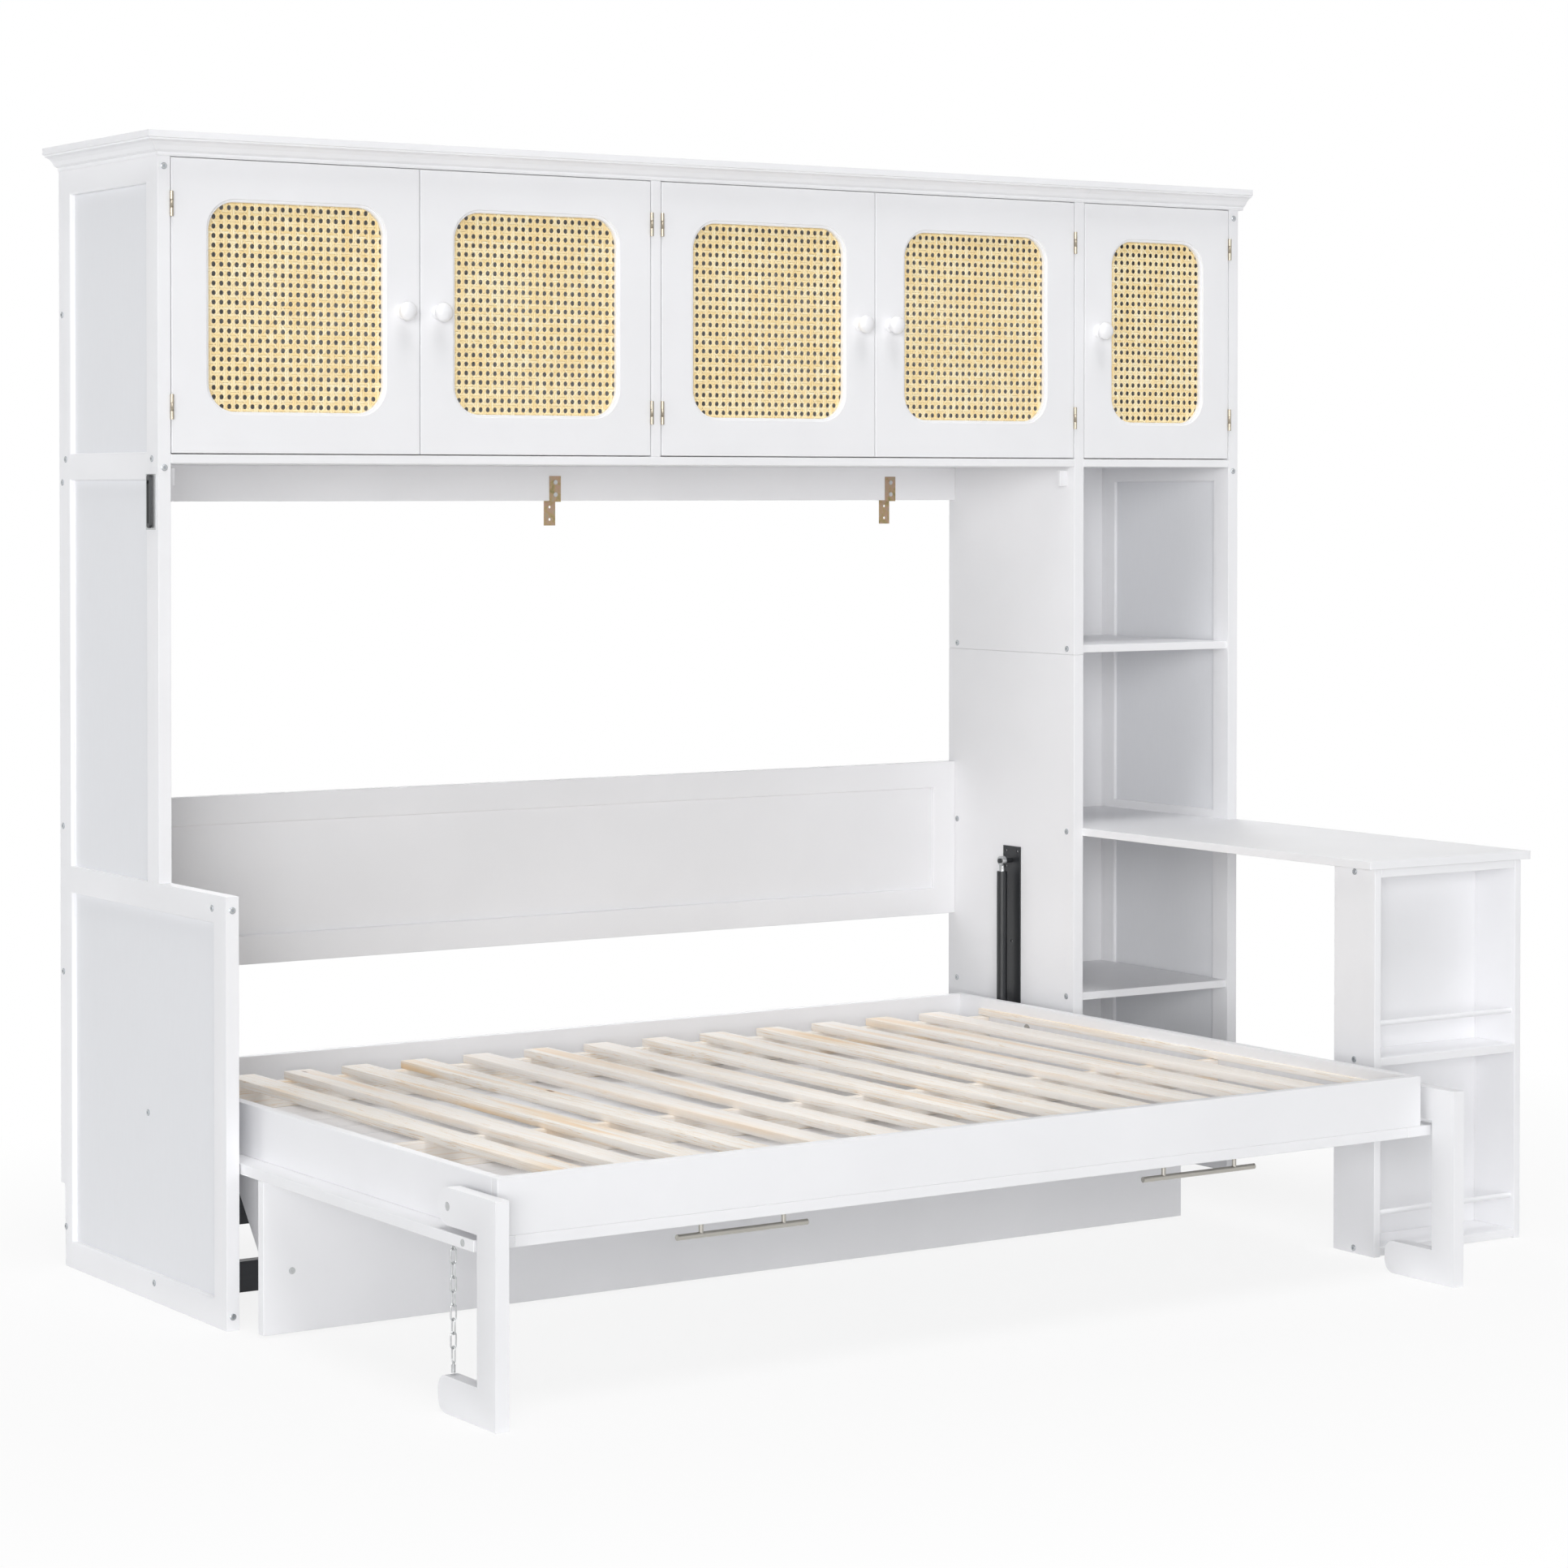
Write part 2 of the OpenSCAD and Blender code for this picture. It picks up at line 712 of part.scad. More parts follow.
module door_cane(d) {
  w = d[1] - d[0];
  h = doors_z1 - doors_z0;
  color(cane_colour) place()
    translate([d[0] + door_stile - 8, -side_d + door_t - 7 + cane_t, doors_z0 + door_stile - 8])
      rotate([90, 0, 0]) linear_extrude(cane_t)
        round_rect(w - 2 * door_stile + 16, h - 2 * door_stile + 16, window_r + 8);
}

knob_edge = 37;

module knob() {
  rotate([90, 0, 0]) rotate_extrude()
    polygon([
      [0, 0], [knob_r * 0.5, 0], [knob_r * 0.5, 2], [knob_r * 0.36, 4],
      [knob_r * 0.36, 14], [knob_r * 0.6, 17], [knob_r * 0.92, 20], [knob_r, 24],
      [knob_r * 0.95, 28], [knob_r * 0.75, 31.5], [knob_r * 0.4, 33.5], [0, 34]
    ]);
}

module door_fittings(d) {
  kx = d[2] == 1 ? d[1] - knob_edge : d[0] + knob_edge;
  color(steel) place() {
    for (z = hinge_z) moving_leaf(d, z);
    translate([kx, -side_d, (doors_z0 + doors_z1) / 2]) knob();
  }
}

module door_1_frame() { door_frame(doors[0]); }
module door_2_frame() { door_frame(doors[1]); }
module door_3_frame() { door_frame(doors[2]); }
module door_4_frame() { door_frame(doors[3]); }
module door_5_frame() { door_frame(doors[4]); }
module door_1_cane() { door_cane(doors[0]); }
module door_2_cane() { door_cane(doors[1]); }
module door_3_cane() { door_cane(doors[2]); }
module door_4_cane() { door_cane(doors[3]); }
module door_5_cane() { door_cane(doors[4]); }
module door_1_fittings() { door_fittings(doors[0]); }
module door_2_fittings() { door_fittings(doors[1]); }
module door_3_fittings() { door_fittings(doors[2]); }
module door_4_fittings() { door_fittings(doors[3]); }
module door_5_fittings() { door_fittings(doors[4]); }

/* ---- bed ---- */

module bed_long_rails() {
  color(white) place() {
    box([bed_x0, bed_y0, rail_z], [bed_x1, bed_y0 + rail_t, rail_top]);
    box([bed_x0, bed_y1 - rail_t, rail_z], [bed_x1, bed_y1, rail_top]);
  }
}

module bed_end_rails() {
  color(white) place()
    for (x = [bed_x0, bed_x1 - rail_t])
      difference() {
        box([x, bed_y0 + rail_t, rail_z], [x + rail_t, bed_y1 - rail_t, rail_top]);
        rod_x([x - 1, pivot_y, pivot_z], pivot_r + run, rail_t + 2);
      }
}

module bed_face_strips() {
  color(white) place() {
    for (x = [lip_x0, lip_x1 - lip_w])
      box([x, bed_y0, lip_z], [x + lip_w, bed_y1, rail_z]);
    for (y = [bed_y0, bed_y1 - lip_w])
      box([lip_x0 + lip_w + joint, y, lip_z], [lip_x1 - lip_w - joint, y + lip_w, rail_z]);
  }
}

module bed_underside_panel() {
  x0 = bed_x0 + rail_t;
  x1 = bed_x1 - rail_t;
  y0 = bed_y0 + rail_t;
  y1 = bed_y1 - rail_t;
  color(white) place() difference() {
    box([x0, y0, rail_z], [x1, y1, rail_z + under_t]);
    for (y = [y1 - groove_pitch : -groove_pitch : y0 + groove_pitch / 2]) {
      box([x0 - 1, y - 1, rail_z + under_t - 2], [x1 + 1, y + 1, rail_z + under_t + 1]);
      box([lip_x0 + lip_w, y - 1, rail_z - 1], [lip_x1 - lip_w, y + 1, rail_z + 2]);
    }
  }
}

bearer_z = rail_z + under_t;
slat_z = bearer_z + bearer_h;
slat_y1 = bed_y1 - rail_t - 78;
slat_y0 = bed_y0 + rail_t + 4;
inner_l = bed_l - 2 * rail_t;
slat_pitch = (inner_l - 2 * slat_margin - slat_w) / (slat_count - 1);
bearer_t = 20;
cleat_h = bearer_h - 4;

function slat_shift(i) = i > 2 ? 0 : slat_crowd * pow(1 - i / 3, 1.5);

module bed_slats() {
  color(pine) place()
    for (i = [0 : slat_count - 1])
      translate([bed_x0 + rail_t + slat_margin + i * slat_pitch + slat_shift(i), 0, 0])
        box([0, slat_y0, slat_z], [slat_w, slat_y1, slat_z + slat_t]);
}

module bed_bearers() {
  color(pine) place() {
    for (y = [slat_y1 - bearer_t - 6, (slat_y0 + slat_y1) / 2 - 120, slat_y0 + 10])
      box([bed_x0 + rail_t, y, bearer_z], [bed_x1 - rail_t, y + bearer_t, slat_z]);
    for (x = [bed_x0 + rail_t, bed_x1 - rail_t - 10])
      box([x, slat_y0 + 10 + bearer_t + joint, slat_z + slat_t - 14],
          [x + 10, slat_y1, slat_z + slat_t]);
  }
}

module shelf_desk_panel() {
  color(white) place()
    box([lip_x0, panel_y0, panel_z0], [lip_x1, panel_y1, lip_z]);
}

module shelf_desk_gussets() {
  color(white) place()
    for (x = gusset_x)
      along_x(x, x + gusset_t, [
        [panel_y1, lip_z], [panel_y1, panel_z0 + 22],
        [panel_y1 + 12, panel_z0 + 22], [panel_y1 + gusset_run, lip_z - 14],
        [panel_y1 + gusset_run, lip_z]
      ]);
}

pull_x = [bay_x0 + pull_in, bay_x1 - pull_in - 15];

module pull_handles() {
  y = bed_y0 + lip_w / 2;
  color(steel) place()
    for (x = pull_x)
      union() {
        rod_x([x - pull_l / 2, y, lip_z - pull_out], pull_r, pull_l);
        for (k = [-0.5, 0.5])
          rod_z([x + k * pull_pitch, y, lip_z - pull_out], pull_r * 0.8, pull_out);
      }
}

module pivot_pins() {
  color(steel) place() {
    union() {
      rod_x([recess + 3, pivot_y, pivot_z], pivot_r, bed_x0 + rail_t - recess - 3);
      rod_x([bed_x0 - seat - 6, pivot_y, pivot_z], pivot_r + 10, 6);
    }
    union() {
      rod_x([bed_x1 - rail_t, pivot_y, pivot_z], pivot_r,
            tower_x0 - recess - 2 - bed_x1 + rail_t);
      rod_x([bed_x1 + seat, pivot_y, pivot_z], pivot_r + 10, 6);
    }
  }
}

module bed_brackets() {
  color(steel) place()
    for (s = [0, 1]) {
      x = s == 0 ? bed_x0 - 3 : bed_x1;
      xs = s == 0 ? strut_x[0] + 5.5 : bed_x1 + 2;
      l = strut_off - 5.5 - 2;
      union() {
        box([x, -strut_y - 14, rail_z + 4], [x + 3, -strut_y + 14, rail_top - 12]);
        rod_x([xs, -strut_y, strut_low_z], stud_r, l);
      }
    }
  // screw eye that carries the safety chain
  color(steel) place() union() {
    rod_z([chain_x, chain_y, chain_top + eye_r + 0.8], 1.6, lip_z - chain_top - eye_r - 0.8);
    translate([chain_x, chain_y, chain_top]) rotate([0, 90, 0])
      rotate_extrude() translate([eye_r, 0]) circle(r = eye_wire_r, $fn = 24);
  }
}

module bed_bolts() {
  color(black) place() {
    for (s = [0, 1]) {
      lx = leg_x[s];
      hx = s == 0 ? lx + 0.5 : lx + board_t - 4.5;
      union() {
        rod_x([hx, leg_bolt_y, leg_bolt_z], leg_head_r, 4);
        if (s == 0)
          rod_x([hx, leg_bolt_y, leg_bolt_z], leg_bolt_r, bed_x0 - hx);
        else
          rod_x([bed_x1, leg_bolt_y, leg_bolt_z], leg_bolt_r, hx - bed_x1 + 4);
        if (s == 0)
          rod_x([lx + board_t + seat, leg_bolt_y, leg_bolt_z], 12,
                bed_x0 - lx - board_t - seat);
        else
          rod_x([bed_x1, leg_bolt_y, leg_bolt_z], 12, lx - bed_x1 - seat);
      }
    }
    for (x = gusset_x) rod_y([x + gusset_t / 2, panel_y0 - 1, 111], cap_r, 1);
    rod_x([lip_x0 - 0.8, bed_y0 + 34, lip_z + lip_t / 2], cap_r, 0.8);
    rod_x([lip_x1, bed_y0 + 34, lip_z + lip_t / 2], cap_r, 0.8);
  }
}

/* ---- struts ---- */

cyl_top = strut_z - 22;
cyl_low = strut_low_z + 42;
rod_len = cyl_top - 30 - strut_low_z;

module strut_cylinders() {
  color(black) place()
    for (x = strut_x)
      difference() {
        union() {
          rod_z([x, -strut_y, cyl_low], strut_r, cyl_top - cyl_low);
          rod_z([x, -strut_y, cyl_top - 1], 6, strut_z - 8 - cyl_top);
          rod_x([x - 5, -strut_y, strut_z], 10, 10);
        }
        rod_x([x - 6, -strut_y, strut_z], stud_r + run, 12);
        rod_z([x, -strut_y, cyl_low - 1], strut_rod_r + run, cyl_top - cyl_low - 10);
      }
}

module strut_rods() {
  color(steel) place()
    for (x = strut_x)
      union() {
        rod_z([x, -strut_y, strut_low_z + 6], strut_rod_r, rod_len - 6);
        rod_x([x - 5, -strut_y, strut_low_z], 9, 10);
      }
}

/* ---- legs ---- */

// Radius of the foot's round end corners
foot_r = min(23, foot_h / 2 - 1);

// Leg outline seen from the left: x = forward from the bolt, y = up
module leg_outline() {
  f = leg_bolt_y - leg_y0;
  b = leg_l - f;
  difference() {
    union() {
      circle(r = arm_h / 2);
      translate([0, -arm_h / 2]) square([f, arm_h]);
      translate([f - post_w, -leg_bolt_z]) square([post_w, leg_bolt_z]);
      translate([0, -leg_bolt_z]) square([f, foot_h]);
      translate([-b + foot_r, -leg_bolt_z]) square([b, foot_h - foot_r]);
      translate([-b + foot_r, -leg_bolt_z + foot_r]) square([b, foot_h - foot_r]);
      translate([-b, -leg_bolt_z + foot_r]) square([b, foot_h - 2 * foot_r]);
      for (z = [foot_r, foot_h - foot_r])
        translate([-b + foot_r, -leg_bolt_z + z]) circle(r = foot_r);
    }
    circle(r = leg_bolt_r + run);
  }
}

module leg(x, s) {
  color(white) place() difference() {
    translate([x, leg_bolt_y, leg_bolt_z]) rotate([90, 0, 90])
      mirror([1, 0, 0]) linear_extrude(board_t) leg_outline();
    rod_x([s == 0 ? x - 1 : x + board_t - 5, leg_bolt_y, leg_bolt_z], leg_head_r + 0.6, 6);
  }
}

module left_leg() { leg(leg_x[0], 0); }
module right_leg() { leg(leg_x[1], 1); }

/* ---- safety chain ---- */

// One link standing in the XZ plane, top of its inner opening at z = 0
module link() {
  ri = link_w / 2 - wire_r;
  for (s = [0, 1])
    translate([0, 0, s == 0 ? -ri + wire_r : -link_l + ri - wire_r])
      rotate([90, s * 180, 0]) rotate_extrude(angle = 180)
        translate([ri, 0]) circle(r = wire_r, $fn = 24);
  for (x = [-ri, ri])
    translate([x, 0, -link_l + ri - wire_r])
      cylinder(r = wire_r, h = link_l - 2 * ri + 2 * wire_r, $fn = 24);
}

button_h = 17;

module safety_chain() {
  color(steel) place() translate([chain_x, chain_y, chain_top - wire_r]) {
    for (i = [0 : links - 1])
      translate([0, 0, -i * link_pitch]) rotate([0, 0, i % 2 == 1 ? 90 : 0]) link();
    translate([0, 0, -(links - 1) * link_pitch - link_l]) {
      rod_z([0, 0, -6], 2.2, 5.6);
      rod_z([0, 0, -button_h], 3.6, button_h - 5);
    }
  }
}

left_low_frame();
left_upper_frame();
side_infill_panels();
divider_boards();
right_side_frame();
tower_back();
tower_boards();
cabinet_boards();
cabinet_partition();
cabinet_back();
crown_mouldings();
upper_wall_rail();
back_board_frame();
back_board_panel();
base_rails();
stop_blocks();
wall_brackets();
bracket_screws();
desk_top();
desk_case_sides();
desk_case_shelves();
desk_case_back();
desk_case_rods();
strut_plates();
pivot_plates();
chain_track();
bolt_caps();
door_hinge_leaves();
pivot_pins();
bed_long_rails();
bed_end_rails();
bed_face_strips();
bed_underside_panel();
bed_slats();
bed_bearers();
shelf_desk_panel();
shelf_desk_gussets();
pull_handles();
bed_brackets();
bed_bolts();
strut_cylinders();
strut_rods();
left_leg();
right_leg();
safety_chain();
door_1_frame();
door_1_cane();
door_1_fittings();
door_2_frame();
door_2_cane();
door_2_fittings();
door_3_frame();
door_3_cane();
door_3_fittings();
door_4_frame();
door_4_cane();
door_4_fittings();
door_5_frame();
door_5_cane();
door_5_fittings();
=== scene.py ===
import json
import math

import bmesh
import bpy
from mathutils import Matrix, Vector

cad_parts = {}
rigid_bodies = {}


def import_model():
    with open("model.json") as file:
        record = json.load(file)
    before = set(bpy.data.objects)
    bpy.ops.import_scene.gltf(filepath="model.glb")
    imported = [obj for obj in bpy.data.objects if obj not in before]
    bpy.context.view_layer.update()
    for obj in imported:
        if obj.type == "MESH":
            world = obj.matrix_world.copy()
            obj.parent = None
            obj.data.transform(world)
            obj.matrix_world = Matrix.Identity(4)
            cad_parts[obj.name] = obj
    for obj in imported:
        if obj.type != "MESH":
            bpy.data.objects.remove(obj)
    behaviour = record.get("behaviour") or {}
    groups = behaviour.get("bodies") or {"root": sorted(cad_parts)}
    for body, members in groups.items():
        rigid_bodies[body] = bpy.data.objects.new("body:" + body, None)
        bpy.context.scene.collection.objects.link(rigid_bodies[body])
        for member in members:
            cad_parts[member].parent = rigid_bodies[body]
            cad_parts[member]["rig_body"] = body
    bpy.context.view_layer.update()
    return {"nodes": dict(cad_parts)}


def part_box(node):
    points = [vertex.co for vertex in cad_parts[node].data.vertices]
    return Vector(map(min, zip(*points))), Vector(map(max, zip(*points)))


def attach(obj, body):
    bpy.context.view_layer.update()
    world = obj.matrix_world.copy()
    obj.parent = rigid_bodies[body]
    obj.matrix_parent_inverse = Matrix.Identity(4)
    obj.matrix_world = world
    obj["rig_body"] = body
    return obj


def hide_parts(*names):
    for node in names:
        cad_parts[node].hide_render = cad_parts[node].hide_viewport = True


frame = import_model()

bl_info = {
    "name": "Wall bed with fold down desk",
    "version": (1, 0, 0),
    "blender": (4, 5, 0),
    "location": "View3D > Sidebar > Wall bed",
    "description": "Dresses the wall bed's frame: boards, woven cane, slats and fittings",
    "category": "Object",
}

MM = 0.001
NODES = frame["nodes"]
DOORS = (1, 2, 3, 4, 5)

# Vertices this close are one, in metres
WELD = 0.01 * MM
# Edges shorter than this are left sharp on boards and slats, in mm
SHORTEST = 9
# Faces that meet at less than this look smooth, in degrees: painted boards,
# planed wood, metal fittings, turned knobs
SMOOTH_BOARD, SMOOTH_WOOD, SMOOTH_METAL, SMOOTH_KNOB = 18, 40, 35, 50
# Edges sharper than this count as square, and faces that meet at less than this
# are one flat face, in degrees
SQUARE, FLAT = 50, 0.5
# The low places of a metal's or a coat's grain keep this share of its colour
LOW_TONE = 0.8

# Painted boards that keep their CAD shape, with their edges eased
FLAT_BOARDS = (
    "divider_boards", "tower_back", "tower_boards", "cabinet_boards",
    "cabinet_partition", "cabinet_back", "upper_wall_rail", "stop_blocks",
    "desk_top", "desk_case_sides", "desk_case_shelves", "desk_case_back",
    "bed_long_rails", "bed_end_rails", "bed_face_strips", "shelf_desk_panel",
    "shelf_desk_gussets", "left_leg", "right_leg",
)
# Frames whose inner edges are routed round a sunk panel
ROUTED_FRAMES = (
    "left_low_frame", "left_upper_frame", "right_side_frame", "back_board_frame",
)
# Painted parts whose CAD mesh stays as it is
PLAIN_PAINTED = (
    "back_board_panel", "bed_underside_panel", "crown_mouldings", "desk_case_rods",
)


def rgb(hexa):
    """Linear colour of an sRGB hex value."""
    parts = [int(hexa[i:i + 2], 16) / 255 for i in (0, 2, 4)]
    return tuple(p / 12.92 if p <= 0.04045 else ((p + 0.055) / 1.055) ** 2.4
                 for p in parts)


def rgba(colour, share=1.0):
    """Colour with full alpha, from a hex value or a linear triple, darkened to
    a share of its light."""
    parts = rgb(colour) if isinstance(colour, str) else colour
    return (*(p * share for p in tuple(parts)[:3]), 1.0)


# ---- what a user would change ----

def colour_prop(name, text, hexa):
    """A colour whose default is a hex value."""
    return bpy.props.FloatVectorProperty(
        name=name, description=text, subtype="COLOR", size=3, min=0, max=1,
        default=rgb(hexa))


def length_prop(name, text, mm):
    """A length whose default is in mm."""
    return bpy.props.FloatProperty(
        name=name, description=text, default=mm * MM, min=0, unit="LENGTH",
        subtype="DISTANCE")


class WALLBED_PG_sizes(bpy.types.PropertyGroup):
    """Sizes of the details that are added to the frame"""
    arris: length_prop("Arris", "Rounding of the boards' sharp edges", 1.2)
    routed: length_prop("Routed edge", "Rounding round the sunk panels", 4)
    cane_pitch: length_prop("Cane pitch", "Distance from one cane hole to the next",
                            15.5)
    cane_strand: length_prop("Cane strand", "Width of one cane strand", 3.9)
    slat_arris: length_prop("Slat arris", "Rounding of the planed slats", 1.5)


class WALLBED_PG_colours(bpy.types.PropertyGroup):
    """Colours of the finishes"""
    enamel: colour_prop("Enamel", "Sprayed satin enamel", "F4F4F6")
    foil: colour_prop("Panel foil", "White foil of the sunk side panels", "EAEBEE")
    cane: colour_prop("Cane", "Peeled rattan", "FFEBBB")
    pine: colour_prop("Pine", "Planed pine, early wood", "FFFAF3")
    pine_late: colour_prop("Pine grain", "Planed pine, late wood", "FAE9D0")
    nickel: colour_prop("Nickel", "Brushed nickel", "B9B6AF")
    zinc: colour_prop("Zinc", "Bright zinc plating", "C6C8C9")
    black: colour_prop("Black enamel", "Stoved black enamel", "26282B")
    laminate: colour_prop("Grey laminate", "Grey laminated rail", "4C4E52")


class WALLBED_PG_stage(bpy.types.PropertyGroup):
    """Floor and light"""
    floor: colour_prop("Floor", "Plain pale floor", "F2F2F2")
    lamps: bpy.props.FloatProperty(
        name="Lamps", description="Brightness of all lamps, 1 as photographed",
        default=1.0, min=0, subtype="FACTOR")
    sky: bpy.props.FloatProperty(
        name="Sky", description="Strength of the even light all round",
        default=0.16, min=0, subtype="FACTOR")


# ---- helpers for shader nodes ----

def plug(tree, node, inputs):
    """Links or sets a node's inputs. A node given as a value stands for its first
    output in use."""
    for key, value in inputs.items():
        if isinstance(value, bpy.types.Node):
            value = next(out for out in value.outputs if out.enabled)
        if isinstance(value, bpy.types.NodeSocket):
            tree.links.new(value, node.inputs[key])
        else:
            node.inputs[key].default_value = value


def put(tree, kind, inputs=None, stops=None, **settings):
    """Adds one shader node with its settings and its inputs."""
    node = tree.nodes.new("ShaderNode" + kind)
    for key, value in settings.items():
        setattr(node, key, value)
    if stops:
        ramp = node.color_ramp
        while len(ramp.elements) < len(stops):
            ramp.elements.new(0.5)
        for element, (place, colour) in zip(ramp.elements, stops):
            element.position = place
            element.color = colour if len(colour) == 4 else rgba(colour)
    plug(tree, node, inputs or {})
    return node


def empty_tree(owner):
    """The node tree of a material or world, with nothing in it."""
    owner.use_nodes = True
    owner.node_tree.nodes.clear()
    return owner.node_tree


def new_material(name):
    """A fresh material: its tree, its object coordinates and its main shader."""
    material = bpy.data.materials.new(name)
    tree = empty_tree(material)
    shader = put(tree, "BsdfPrincipled")
    put(tree, "OutputMaterial", {"Surface": shader})
    place = put(tree, "TexCoord").outputs["Object"]
    return material, tree, place, shader


def per_mm(*sizes):
    """Scale of a pattern on metres whose features have these sizes in mm: one
    number for one size, else one for each axis."""
    scales = [1000 / size for size in sizes]
    return scales if len(scales) > 1 else scales[0]


def seen_as_background(tree):
    """1 where the camera, a mirror image or clear glass shows the surface, and 0
    where the surface only lights the object."""
    path = put(tree, "LightPath")
    direct = put(tree, "Math", {0: path.outputs["Is Camera Ray"],
                                1: path.outputs["Is Glossy Ray"]}, operation="MAXIMUM")
    return put(tree, "Math", {0: direct, 1: path.outputs["Is Transmission Ray"]},
               operation="MAXIMUM")


# ---- materials ----

def satin_enamel(colours, name, rough):
    """Sprayed satin enamel on planed board: even white with a faint orange
    peel, and slow differences of two percent where the coat is thicker."""
    material, tree, place, shader = new_material(name)
    coat = put(tree, "TexNoise", {"Vector": place, "Scale": per_mm(240)})
    tone = put(tree, "ValToRGB", {0: coat}, stops=[
        (0.35, rgba(colours.enamel, 0.975)), (0.65, rgba(colours.enamel))])
    # real orange peel is 1 mm across; drawn at 5 mm so that it shows
    peel = put(tree, "TexNoise", {"Vector": place, "Scale": per_mm(5), "Detail": 1.0})
    plug(tree, shader, {
        "Base Color": tone,
        "Roughness": put(tree, "MapRange", {
            "Value": peel, "To Min": rough - 0.04, "To Max": rough + 0.04}),
        "Normal": put(tree, "Bump", {
            "Height": peel, "Distance": 0.05 * MM, "Strength": 0.35}),
        "IOR": 1.5})
    return material


def panel_foil(colours):
    """White foil pressed on thin board: a shade darker and cooler than the
    enamel, with a fine even grain that runs up the panel."""
    material, tree, place, shader = new_material("white_foil_pressed")
    # foil grain is 0.3 mm wide; drawn at 2.5 mm so that it shows
    grain = put(tree, "TexNoise", {"Scale": 1.0, "Vector": put(tree, "Mapping", {
        "Vector": place, "Scale": per_mm(2.5, 2.5, 40)})})
    plug(tree, shader, {
        "Base Color": put(tree, "ValToRGB", {0: grain}, stops=[
            (0.3, rgba(colours.foil, 0.985)), (0.7, rgba(colours.foil))]),
        "Roughness": put(tree, "MapRange", {
            "Value": grain, "To Min": 0.46, "To Max": 0.54}),
        "Normal": put(tree, "Bump", {
            "Height": grain, "Distance": 0.03 * MM, "Strength": 0.25}),
        "IOR": 1.5})
    return material


def planed_pine(colours, name, long_first):
    """Planed softwood: pale early wood, warmer late-wood lines along the
    board every few millimetres, broad heart-wood bands, a tone for each board
    and a knot here and there."""
    material, tree, place, shader = new_material(name)

    def along(length, width):
        """Scale for a pattern this long along the board and this wide across."""
        return per_mm(*(length, width) if long_first else (width, length), width)

    board = put(tree, "NewGeometry").outputs["Random Per Island"]
    shift = put(tree, "VectorMath", {0: place, 1: put(tree, "CombineXYZ", {
        0: put(tree, "MapRange", {"Value": board, "To Max": 3.1}),
        1: put(tree, "MapRange", {"Value": board, "To Max": 7.3}),
        2: put(tree, "MapRange", {"Value": board, "To Max": 1.7})})}, operation="ADD")
    rings = put(tree, "TexNoise", {
        "Scale": 1.0, "Detail": 3.0, "Roughness": 0.55, "Distortion": 0.9,
        "Vector": put(tree, "Mapping", {"Vector": shift, "Scale": along(420, 7)})})
    grain = put(tree, "ValToRGB", {0: rings}, stops=[
        (0.28, colours.pine_late), (0.40, colours.pine), (0.49, colours.pine),
        (0.51, "EACFA9"), (0.53, colours.pine), (0.64, colours.pine),
        (0.80, colours.pine_late)])
    heart = put(tree, "TexNoise", {"Scale": 1.0, "Vector": put(tree, "Mapping", {
        "Vector": shift, "Scale": along(700, 38)})})
    warm = put(tree, "MapRange", {
        "Value": heart, "From Min": 0.56, "From Max": 0.72, "To Max": 0.85})
    warmed = put(tree, "Mix", {0: warm, 6: grain, 7: rgba("F4D09C")}, data_type="RGBA")
    pale = put(tree, "MapRange", {"Value": board, "To Max": 0.55})
    toned = put(tree, "Mix", {0: pale, 6: warmed, 7: rgba("FFF9F3")}, data_type="RGBA")
    # a quarter of the cells holds a knot, which fades out 18 mm along the board
    # and 5 mm across it
    knots = put(tree, "TexVoronoi", {"Scale": 1.0, "Vector": put(tree, "Mapping", {
        "Vector": shift, "Scale": along(210, 62)})})
    core = put(tree, "MapRange", {
        "Value": knots.outputs["Distance"], "From Min": 0.035, "From Max": 0.085,
        "To Min": 1.0, "To Max": 0.0})
    rare = put(tree, "SeparateColor", {0: knots.outputs["Color"]})
    shown = put(tree, "Math", {0: rare, 1: 0.74}, operation="GREATER_THAN")
    knot = put(tree, "Math", {0: core, 1: shown}, operation="MULTIPLY")
    # planing leaves the fibres standing 0.1 mm proud
    fibre = put(tree, "TexNoise", {"Scale": 1.0, "Vector": put(tree, "Mapping", {
        "Vector": shift, "Scale": along(60, 1.2)})})
    plug(tree, shader, {
        "Base Color": put(tree, "Mix", {0: knot, 6: toned, 7: rgba("7A4A2A")},
                          data_type="RGBA"),
        "Roughness": put(tree, "MapRange", {
            "Value": fibre, "To Min": 0.52, "To Max": 0.68}),
        "Normal": put(tree, "Bump", {
            "Height": fibre, "Distance": 0.12 * MM, "Strength": 0.5}),
        "IOR": 1.5})
    return material


